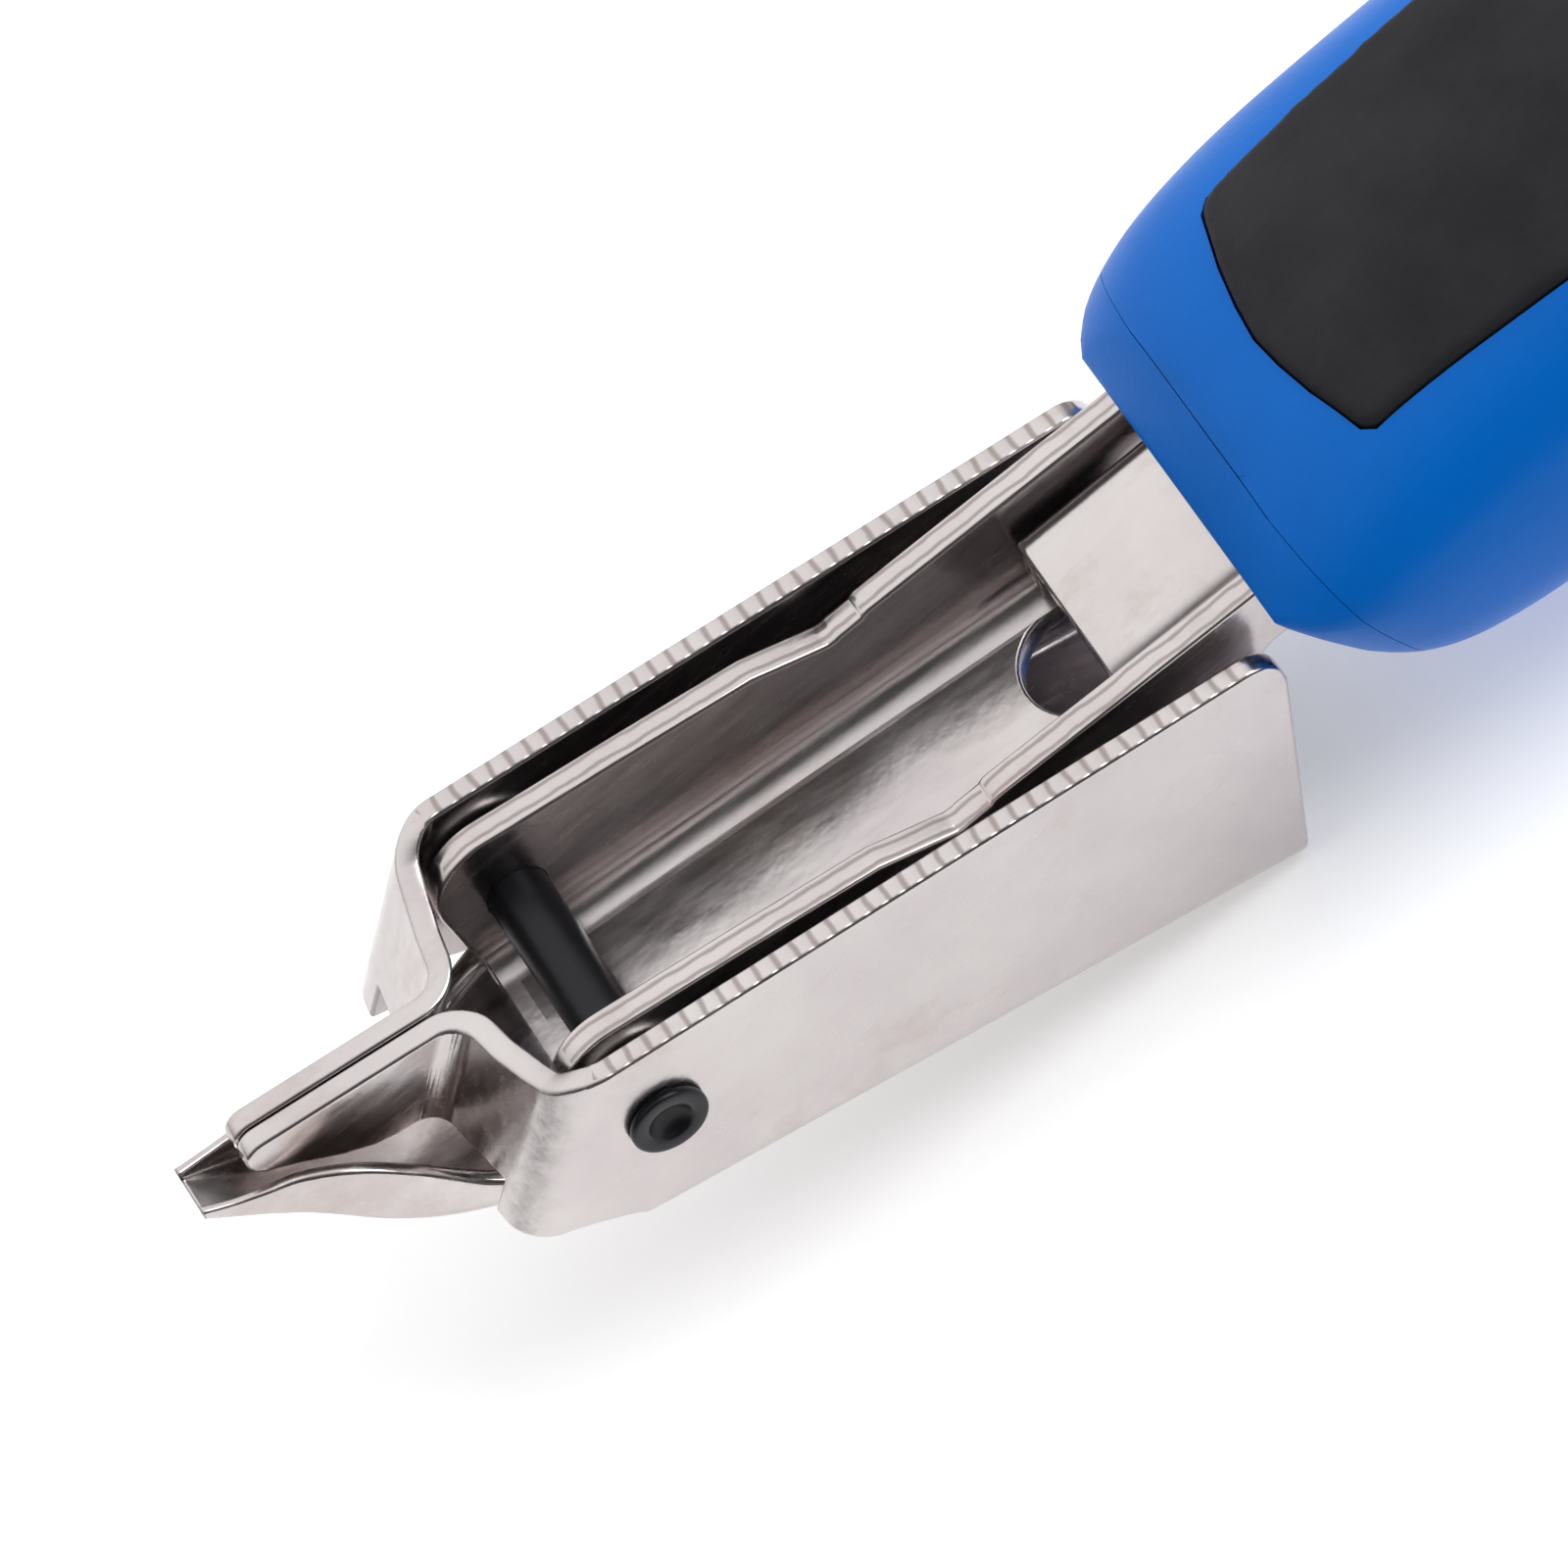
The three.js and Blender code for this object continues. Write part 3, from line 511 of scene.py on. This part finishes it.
# The front is foremost at PEAK over the centre line. Above it the rings lean back by lean_at, and below it by
# CHIN times that.
PEAK, CHIN = 2.4, 0.39
half_width_at = curve_through([(0, 9.4), (1, 10.9), (3, 12.3), (6, 13.1), (12, 13.6), (30, 13.75), (60, 13.7),
                               (85, 13.2), (100, 12.3), (108, 10.9), (113, 8.6), (115, 6.2)])
top_at = curve_through([(0, 5.7), (1.2, 6.6), (4, 7.6), (8, 8.4), (14, 9.0), (30, 9.6), (60, 9.9), (85, 9.4),
                        (100, 8.6), (108, 7.4), (113, 5.6), (115, 4.0)])
bottom_at = curve_through([(0, 6.3), (1.2, 7.2), (4, 8.2), (8, 8.9), (14, 9.3), (30, 9.8), (60, 10.4),
                           (85, 10.0), (100, 9.0), (108, 7.6), (113, 5.8), (115, 4.2)])
lean_at = curve_through([(0, 0.95), (3, 0.72), (8, 0.36), (14, 0.1), (20, 0), (115, 0)])
BEND_RATE = (HANDLE["end_slope"] - HANDLE["slope"]) / HANDLE["length"]


def handle_slope(s):
    return HANDLE["slope"] + BEND_RATE * s


def handle_centre(s):
    start = HANDLE["slope"]
    return (HANDLE["x"] + (math.sin(start + BEND_RATE * s) - math.sin(start)) / BEND_RATE,
            HANDLE["z"] - (math.cos(start + BEND_RATE * s) - math.cos(start)) / BEND_RATE)


def handle_ring(s, top, side, bottom, count=144):
    """One ring of the handle's skin, moved in by the given walls."""
    cx, cz = handle_centre(s)
    a = handle_slope(s)
    power = 2 / HANDLE["power"]
    ring = []
    for i in range(count):
        t = 2 * math.pi * i / count
        across = math.copysign(abs(math.cos(t)) ** power, math.cos(t)) * (half_width_at(s) - side)
        reach = top_at(s) - top if math.sin(t) > 0 else bottom_at(s) - bottom
        h = reach * math.copysign(abs(math.sin(t)) ** power, math.sin(t))
        on = lean_at(s) * (h - PEAK if h > PEAK else CHIN * (PEAK - h))
        ring.append((cx + on * math.cos(a) - h * math.sin(a), across,
                     cz + on * math.sin(a) + h * math.cos(a)))
    return ring


SKIN = spread(0, 8, 16) + spread(8, 100, 80)[1:] + spread(100, 115, 24)[1:]


def handle_body(top=0, side=0, bottom=0, stations=SKIN, name="tool_solid"):
    return loft([handle_ring(s, top, side, bottom) for s in stations], name, across=True)


def cylinder_at(s, radius, low, high, sides=48):
    """A rod square to the handle's centre line at s, between two heights over it."""
    cx, cz = handle_centre(s)
    rod = turned([(0, low), (radius, low), (radius, high), (0, high)], "tool_solid", (0, 0, 0), "Z", sides)
    rod.data.transform(Matrix.Translation((cx, 0, cz)) @ Matrix.Rotation(-handle_slope(s), 4, "Y"))
    return rod


# Where the shells meet, how far down the belly starts, and planes well clear of the tool.
SEAM, BELLY = 0.02, 0.62
CLEAR_TOP, CLEAR_REAR, CLEAR_SIDE = 60, 160, 20


def upper_region(gap):
    """A prism that holds all of the handle but its front collar and its belly."""
    belly = []
    for s in spread(5, 112, 60):
        x, z = handle_centre(s)
        if x > 43:
            belly.append((x, z - BELLY * bottom_at(s) + gap))
    front = [(36.75 + gap, CLEAR_TOP), (36.75 + gap, 10.4), (38.6 + gap, 6), (40.6 + gap, 1.2 + gap),
             (41.4 + gap, 0.5 + gap)]
    rear = [(CLEAR_REAR, 18 + gap), (CLEAR_REAR, CLEAR_TOP)]
    return side_prism(front + belly + rear, -CLEAR_SIDE, CLEAR_SIDE)


SLOT = {"front": 31, "gap": 0.3}


def strap_slot():
    gap = SLOT["gap"]
    y = LEVER["half"] + gap
    front, end = SLOT["front"], LEVER["strap_end"] + 1

    def low(x):
        return min(tang_top(x) - TANG["height"], strap_top(x) - LEVER["strap_deep"]) - gap

    high = strap_top(front) + gap, strap_top(end) + gap
    return side_prism([(front, low(front)), (end, low(end)), (end, high[1]), (front, high[0])], -y, y)


SCREW = {"shaft": 1.25, "head": 2.7, "thick": 1.8, "recess": 1.2, "boss": 3.2, "bore": 1.35,
         "at": {"front": 20, "rear": 88}}
RIVET = {"r": 1.25, "drop": 2.95, "at": {"front": 46, "rear": 66}}
WASHER = {"r": 3.4, "bore": 1.75, "thick": 0.75}
SPRING = {"x": 30.7, "bottom": -8.95, "top": 3.15, "r": 1.6, "wire": 0.3, "turns": 8, "lean": 0.059}
POST = {"r": 0.95, "height": 3.2, "base": web_base(SPRING["x"]) + JAW["sheet"] + 0.15}
BORES = {"jaw": 1.65, "lever": 1.6, "tang": 1.35}
PAD = {"deep": 1.9, "proud": 0.5, "gap": 0.12, "front": 40.7, "end": 132}
pad_half = curve_through([(42.4, 7.75), (53.4, 8.5), (64, 9.0), (95, 9.2), (118, 8.4), (128, 6.8)])


def pad_outline(margin):
    side = [(PAD["front"] - margin, 0), (40.9 - margin, 2.0), (41.3 - margin, 4.2), (41.9 - margin, 6.4),
            (42.15 - margin, 7.3 + margin / 2), (42.7 - margin / 2, 7.8 + margin)]
    side += [(x, pad_half(x) + margin) for x in spread(43.5, 128, 60)]
    side += [(130.6 + margin, 4.2 + margin / 2), (PAD["end"] + margin, 0)]
    return side + [(x, -y) for x, y in reversed(side[1:-1])]


def pad_column(margin):
    """The pad's outline carried up from the handle's centre line."""
    line = [handle_centre(s) for s in spread(0, 115, 20)]
    over = [(20, line[0][1])] + line + [(CLEAR_REAR, 24), (CLEAR_REAR, CLEAR_TOP), (20, CLEAR_TOP)]
    above = side_prism(over, -CLEAR_SIDE, CLEAR_SIDE)
    return joined(plan_prism(pad_outline(margin), 0, CLEAR_TOP), above, "INTERSECT")


def rounded(obj, voxel, passes):
    """Soft moulded edges: an even skin of small faces, smoothed a little."""
    skin = obj.modifiers.new("skin", "REMESH")
    skin.mode, skin.voxel_size = "VOXEL", voxel
    ease = obj.modifiers.new("ease", "SMOOTH")
    ease.factor, ease.iterations = 0.5, passes
    return settle(obj)


def posts_meet(where, s):
    """Heights over the centre line where the upper boss and the lower post end; the tang is between them."""
    if where == "rear":
        return 0.25, 0.15
    cx, cz = handle_centre(s)
    over_tang = (tang_top(cx) - cz) / math.cos(handle_slope(s)) + 0.6
    return over_tang, over_tang - TANG["sheet"] - 1.2


def below_floor():
    """All that is under the floor that the tool stands on, as seen from the head."""
    thick = 20
    floor = object_from(blank([(-200, -30), (200, -30), (200, 30), (-200, 30)], thick, 0.1), "tool_solid")
    floor.data.transform(Matrix.Translation((HEEL[0], 0, HEEL[1])) @ Matrix.Rotation(-TILT, 4, "Y")
                         @ Matrix.Translation((0, 0, -thick / 2)))
    return floor


def make_shells():
    floor = below_floor()
    lower = handle_body(name="handle_lower_fine")
    cavity = handle_body(HANDLE["top_wall"], HANDLE["side_wall"], HANDLE["bottom_wall"], spread(3, 110, 60))
    for other in (cavity, strap_slot(), floor):
        joined(lower, other, "DIFFERENCE")
    upper = lower.copy()
    upper.data = lower.data.copy()
    upper.name = "handle_upper_fine"
    bpy.context.scene.collection.objects.link(upper)
    pocket_deep = PAD["deep"] + 0.1
    pocket = joined(pad_column(PAD["gap"]), handle_body(pocket_deep, pocket_deep, 0), "DIFFERENCE")
    joined(upper, upper_region(SEAM), "INTERSECT")
    joined(upper, pocket, "DIFFERENCE")
    joined(lower, upper_region(-SEAM), "DIFFERENCE")
    for where, s in SCREW["at"].items():
        foot, seat = posts_meet(where, s)
        bottom = -bottom_at(s)
        joined(upper, cylinder_at(s, SCREW["boss"], foot, top_at(s) - 3), "UNION")
        joined(upper, cylinder_at(s, SCREW["bore"], -20, top_at(s) - 4), "DIFFERENCE")
        joined(lower, cylinder_at(s, SCREW["boss"], bottom + 1.5, seat), "UNION")
        joined(lower, cylinder_at(s, SCREW["bore"], -20, 20), "DIFFERENCE")
        joined(lower, cylinder_at(s, SCREW["head"] + 0.1, -20, bottom + SCREW["recess"] + SCREW["thick"]),
               "DIFFERENCE")
    return upper, lower


def make_pad():
    pad = joined(pad_column(0), handle_body(-PAD["proud"]), "INTERSECT")
    pad = joined(pad, handle_body(PAD["deep"], PAD["deep"], 0), "DIFFERENCE")
    pad.name = "pad_fine"
    return rounded(pad, 0.3, 6)


# ---- screws, rivets, washers, spring ----
def make_screw(s, name):
    head = -bottom_at(s) + SCREW["recess"]
    top = head + SCREW["thick"]
    edge = 0.25
    cx, cz = handle_centre(s)
    profile = [(0, head), (SCREW["head"] - edge, head), (SCREW["head"], head + edge), (SCREW["head"], top),
               (SCREW["shaft"], top), (SCREW["shaft"], top_at(s) - 4.6), (0, top_at(s) - 4.6)]
    screw = turned(profile, name, (0, 0, 0), "Z")
    screw.data.transform(Matrix.Translation((cx, 0, cz)) @ Matrix.Rotation(-handle_slope(s), 4, "Y"))
    return joined(screw, cylinder_at(s, 1.1, head - 1, head + 0.9, 6), "DIFFERENCE")


def make_rivet(x, name):
    end = LEVER["half"]
    half = [(RIVET["r"], end - 0.15), (RIVET["r"] - 0.15, end), (0, end)]
    return turned([(r, -h) for r, h in reversed(half)] + half, name, (x, 0, tang_top(x) - RIVET["drop"]))


def make_washer(sign, name):
    r, bore, half, edge = WASHER["r"], WASHER["bore"], WASHER["thick"] / 2, 0.12
    ring = [(bore, -half), (r - edge, -half), (r, edge - half), (r, half - edge), (r - edge, half),
            (bore, half), (bore, -half)]
    middle = sign * (LEVER["half"] + JAW["half"] - JAW["sheet"]) / 2
    return turned(ring, name, (0, middle, 0))


def make_spring():
    """A coil with 30 rings to a turn, of wire with ten sides."""
    rings = []
    steps = SPRING["turns"] * 30
    height = SPRING["top"] - SPRING["bottom"]
    for i in range(steps + 1):
        a = 2 * math.pi * SPRING["turns"] * i / steps
        h = height * i / steps
        centre = Vector((SPRING["x"] - SPRING["lean"] * h, 0, SPRING["bottom"] + h))
        out = Vector((math.cos(a), math.sin(a), 0))
        up = Vector((-SPRING["lean"], 0, 1)).normalized()
        rings.append([centre + out * (SPRING["r"] + x) + up * z
                      for x, z in arc(0, 0, SPRING["wire"], 0, 360, 10)[:-1]])
    return loft(rings, "spring_fine")


def make_post():
    r, top = POST["r"], POST["height"]
    profile = [(0, 0), (r, 0), (r, top - 0.4), (r - 0.09, top - 0.18), (r - 0.25, top - 0.05),
               (r - 0.45, top), (0, top)]
    post = turned(profile, "post_fine", (0, 0, 0), "Z")
    post.data.transform(Matrix.Translation((SPRING["x"], 0, POST["base"]))
                        @ Matrix.Rotation(-SPRING["lean"], 4, "Y"))
    return post


# ---- materials ----
class Nodes:
    """A material's node tree, with short ways to add nodes."""

    def __init__(self, name):
        self.material = bpy.data.materials.new(name)
        self.material.use_nodes = True
        self.tree = self.material.node_tree
        self.shader = self.tree.nodes["Principled BSDF"]

    def add(self, kind, **values):
        node = self.tree.nodes.new("ShaderNode" + kind)
        for key, value in values.items():
            if key in node.inputs:
                node.inputs[key].default_value = value
            else:
                setattr(node, key, value)
        return node

    def link(self, source, node, socket):
        self.tree.links.new(source, node.inputs[socket])

    def noise(self, scale, detail=3.0, stretch=(1, 1, 1), roughness=0.5):
        place = self.add("TexCoord")
        mapping = self.add("Mapping")
        mapping.inputs["Scale"].default_value = stretch
        noise = self.add("TexNoise", Scale=scale, Detail=detail, Roughness=roughness)
        self.link(place.outputs["Object"], mapping, "Vector")
        self.link(mapping.outputs["Vector"], noise, "Vector")
        return noise.outputs["Fac"]

    def spread(self, source, low, high, to_low, to_high):
        node = self.add("MapRange")
        for key, value in (("From Min", low), ("From Max", high), ("To Min", to_low), ("To Max", to_high)):
            node.inputs[key].default_value = value
        self.link(source, node, "Value")
        return node.outputs["Result"]

    def mix(self, factor, first, second):
        node = self.add("Mix", data_type="RGBA")
        self.link(factor, node, 0)
        for index, value in ((6, first), (7, second)):
            if isinstance(value, tuple):
                node.inputs[index].default_value = (*value, 1)
            else:
                self.tree.links.new(value, node.inputs[index])
        return node.outputs[2]

    def bump(self, height, strength, distance, normal=None):
        node = self.add("Bump", Strength=strength, Distance=distance)
        self.link(height, node, "Height")
        if normal:
            self.link(normal, node, "Normal")
        return node.outputs["Normal"]


def plated_steel(name="plated_steel", lines=None):
    """Bright nickel plate with drawing lines, faint stains and soft waves.

    lines gives the pitch of the marks on a cut edge, in millimetres, and the axis they are spaced along.
    """
    m = Nodes(name)
    m.shader.inputs["Metallic"].default_value = 1.0
    cloud = m.noise(110, 5, roughness=0.6)
    stain = m.spread(m.noise(70, 6, (1, 1.6, 1.2), 0.7), 0.54, 0.76, 0, 0.75)
    grain = m.noise(1500, 3, (0.12, 1, 1))
    clean = m.mix(m.spread(cloud, 0.35, 0.7, 0, 1), (0.60, 0.56, 0.555), (0.53, 0.485, 0.485))
    base = m.mix(stain, clean, (0.43, 0.345, 0.29))
    if lines:
        pitch, direction = lines
        place = m.add("TexCoord")
        wave = m.add("TexWave", bands_direction=direction, Distortion=1.4, Detail=2.0)
        wave.inputs["Scale"].default_value = 2 * math.pi / (20 * pitch * MM)
        wave.inputs["Detail Scale"].default_value = 1.5
        m.link(place.outputs["Object"], wave, "Vector")
        mark = m.spread(wave.outputs["Fac"], 0.0, 0.35, 0.6, 0)
        base = m.mix(mark, base, (0.16, 0.12, 0.10))
        marks = m.bump(wave.outputs["Fac"], 0.4, 0.00008)
    else:
        marks = m.bump(cloud, 0.35, 0.00025)
    m.link(base, m.shader, "Base Color")
    m.link(m.spread(grain, 0.3, 0.7, 0.17, 0.3), m.shader, "Roughness")
    m.link(m.bump(grain, 0.2, 0.00003, marks), m.shader, "Normal")
    return m.material


def simple(name, color, metallic, rough, grain_scale=1200, grain_depth=0.00002, specular=0.5, shade=0.85):
    """A moulded or coated finish with a fine grain, clouded between color and a shade of it."""
    m = Nodes(name)
    m.shader.inputs["Metallic"].default_value = metallic
    m.shader.inputs["Specular IOR Level"].default_value = specular
    cloud = m.noise(130, 5, roughness=0.6)
    grain = m.noise(grain_scale, 2)
    base = m.mix(m.spread(cloud, 0.35, 0.65, 0, 1), color, tuple(shade * c for c in color))
    m.link(base, m.shader, "Base Color")
    m.link(m.spread(cloud, 0.3, 0.7, rough - 0.05, rough + 0.05), m.shader, "Roughness")
    m.link(m.bump(grain, 0.4, grain_depth), m.shader, "Normal")
    return m.material


STEEL = plated_steel()
HATCHED_EDGE = plated_steel("punched_edge", (0.95, "X"))
ROLLED_EDGE = plated_steel("rolled_edge", (0.75, "Y"))
BLACK = simple("black_oxide", (0.012, 0.012, 0.015), 0.5, 0.36)
SPRING_STEEL = simple("spring_steel", (0.36, 0.35, 0.34), 1.0, 0.28)
BLUE = simple("blue_plastic", (0.0, 0.145, 0.6), 0.0, 0.36, 2500, 0.00003, 0.13, 0.93)
RUBBER = simple("grip_rubber", (0.017, 0.017, 0.021), 0.0, 0.72, 1800, 0.00009, 0.3, 0.6)
FINISH = {"plated_steel": STEEL, "black_steel": BLACK, "spring_steel": SPRING_STEEL, "handle_plastic": BLUE,
          "grip_rubber": RUBBER}
slots = {part["node"]: part["material_slot"] for part in frame["record"]["subparts"]}
for name, obj in nodes.items():
    obj.data.materials.clear()
    obj.data.materials.append(FINISH[slots[name]])


def finished(obj, node, normals=True, edge=None, is_edge=None):
    """Takes obj from head coordinates to its place, and lets it stand for the CAD node.

    Upward faces that is_edge accepts get the edge material.
    """
    obj.data.materials.clear()
    obj.data.materials.append(FINISH[slots[node]])
    if edge:
        obj.data.materials.append(edge)
        for face in obj.data.polygons:
            face.material_index = int(face.normal.z > 0.8 and is_edge(face.center))
    obj.data.transform(HEAD)
    obj.data.polygons.foreach_set("use_smooth", [True] * len(obj.data.polygons))
    if normals:
        weigh = obj.modifiers.new("normals", "WEIGHTED_NORMAL")
        weigh.mode, weigh.weight = "FACE_AREA", 80
    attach(obj, nodes[node]["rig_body"])
    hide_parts(node)
    return obj


def bored(obj, places, radius):
    """obj with round holes straight across it."""
    for x, z in places:
        hole = turned([(0, -12), (radius, -12), (radius, 12), (0, 12)], "tool_solid", (x, 0, z))
        joined(obj, hole, "DIFFERENCE")
    return obj


rivet_places = [(x, tang_top(x) - RIVET["drop"]) for x in RIVET["at"].values()]
pin_place = (0, 0)
finished(bored(make_jaw(), [pin_place], BORES["jaw"]), "jaw_channel", edge=HATCHED_EDGE,
         is_edge=lambda p: p.z > 0 and p.x > -2)
finished(bored(make_lever(), [pin_place] + rivet_places, BORES["lever"]), "lever", edge=ROLLED_EDGE,
         is_edge=lambda p: abs(p.y) > LEVER["half"] - LEVER["sheet"])
finished(bored(make_tang(), rivet_places, BORES["tang"]), "handle_tang")
finished(make_pin(), "pivot_pin")
for shell, node in zip(make_shells(), ("handle_upper_shell", "handle_lower_shell")):
    finished(shell, node, normals=False)
    shell.data.set_sharp_from_angle(angle=math.radians(38))
finished(make_pad(), "grip_pad", normals=False)
for where, s in SCREW["at"].items():
    finished(make_screw(s, "screw_fine_" + where), "handle_screw_" + where)
for where, x in RIVET["at"].items():
    finished(make_rivet(x, "rivet_fine_" + where), "tang_rivet_" + where)
for where, sign in {"left": 1, "right": -1}.items():
    finished(make_washer(sign, "washer_fine_" + where), "pivot_washer_" + where)
finished(make_post(), "spring_post")
spring = finished(make_spring(), "return_spring", normals=False)
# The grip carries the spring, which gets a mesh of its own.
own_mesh(spring)


# ---- floor, light, camera ----
def make_floor():
    mesh = bpy.data.meshes.new("floor")
    half = 1.5
    corners = [(-half, -half, 0), (half, -half, 0), (half, half, 0), (-half, half, 0)]
    mesh.from_pydata(corners, [], [(0, 1, 2, 3)])
    floor = bpy.data.objects.new("floor", mesh)
    bpy.context.scene.collection.objects.link(floor)
    paper = simple("floor_paper", (0.95, 0.95, 0.95), 0.0, 0.9, shade=1.0)
    glow = paper.node_tree.nodes["Principled BSDF"].inputs
    glow["Emission Color"].default_value = (1, 1, 1, 1)
    glow["Emission Strength"].default_value = 0.36
    mesh.materials.append(paper)


def make_world():
    """A studio that is bright overhead and behind the tool, and dim on the side that the camera is on."""
    world = bpy.data.worlds.new("studio")
    bpy.context.scene.world = world
    world.use_nodes = True
    tree = world.node_tree
    place = tree.nodes.new("ShaderNodeTexCoord")
    facing = tree.nodes.new("ShaderNodeVectorMath")
    facing.operation = "DOT_PRODUCT"
    facing.inputs[1].default_value = Vector((-0.15, 0.62, 0.77)).normalized()
    ramp = tree.nodes.new("ShaderNodeMapRange")
    ramp.interpolation_type = "SMOOTHSTEP"
    for key, value in (("From Min", 0.22), ("From Max", 0.95), ("To Min", 0.08), ("To Max", 1.25)):
        ramp.inputs[key].default_value = value
    tree.links.new(place.outputs["Generated"], facing.inputs[0])
    tree.links.new(facing.outputs["Value"], ramp.inputs["Value"])
    background = tree.nodes["Background"]
    background.inputs["Color"].default_value = (1, 1, 1, 1)
    tree.links.new(ramp.outputs["Result"], background.inputs["Strength"])


def softbox(name, place, target, size, power):
    data = bpy.data.lights.new(name, "AREA")
    data.shape = "RECTANGLE"
    data.size, data.size_y = size
    data.energy = power
    light = bpy.data.objects.new(name, data)
    bpy.context.scene.collection.objects.link(light)
    light.location = place
    light.rotation_euler = (Vector(target) - Vector(place)).to_track_quat("-Z", "Y").to_euler()


CAMERA = {"azimuth": 11.1, "elevation": 54.1, "roll": -48.2, "distance": 0.593, "lens": 300}
AIM = (-0.0524, 0, 0.0182)


def make_camera():
    azimuth, elevation = math.radians(CAMERA["azimuth"]), math.radians(CAMERA["elevation"])
    back = Vector((math.sin(azimuth) * math.cos(elevation), -math.cos(azimuth) * math.cos(elevation),
                   math.sin(elevation)))
    data = bpy.data.cameras.new("camera")
    data.lens = CAMERA["lens"]
    data.clip_start, data.clip_end = 0.01, 10
    camera = bpy.data.objects.new("camera", data)
    bpy.context.scene.collection.objects.link(camera)
    camera.location = Vector(AIM) + back * CAMERA["distance"]
    roll = Matrix.Rotation(math.radians(CAMERA["roll"]), 4, "Z").to_quaternion()
    turn = (-back).to_track_quat("-Z", "Y") @ roll
    camera.rotation_mode = "QUATERNION"
    camera.rotation_quaternion = turn
    bpy.context.scene.camera = camera


make_floor()
make_world()
softbox("key", place=(0.5, -0.12, 0.62), target=(-0.03, 0, 0.01), size=(0.5, 0.5), power=3.6)
make_camera()
bpy.context.scene.view_settings.view_transform = "Standard"
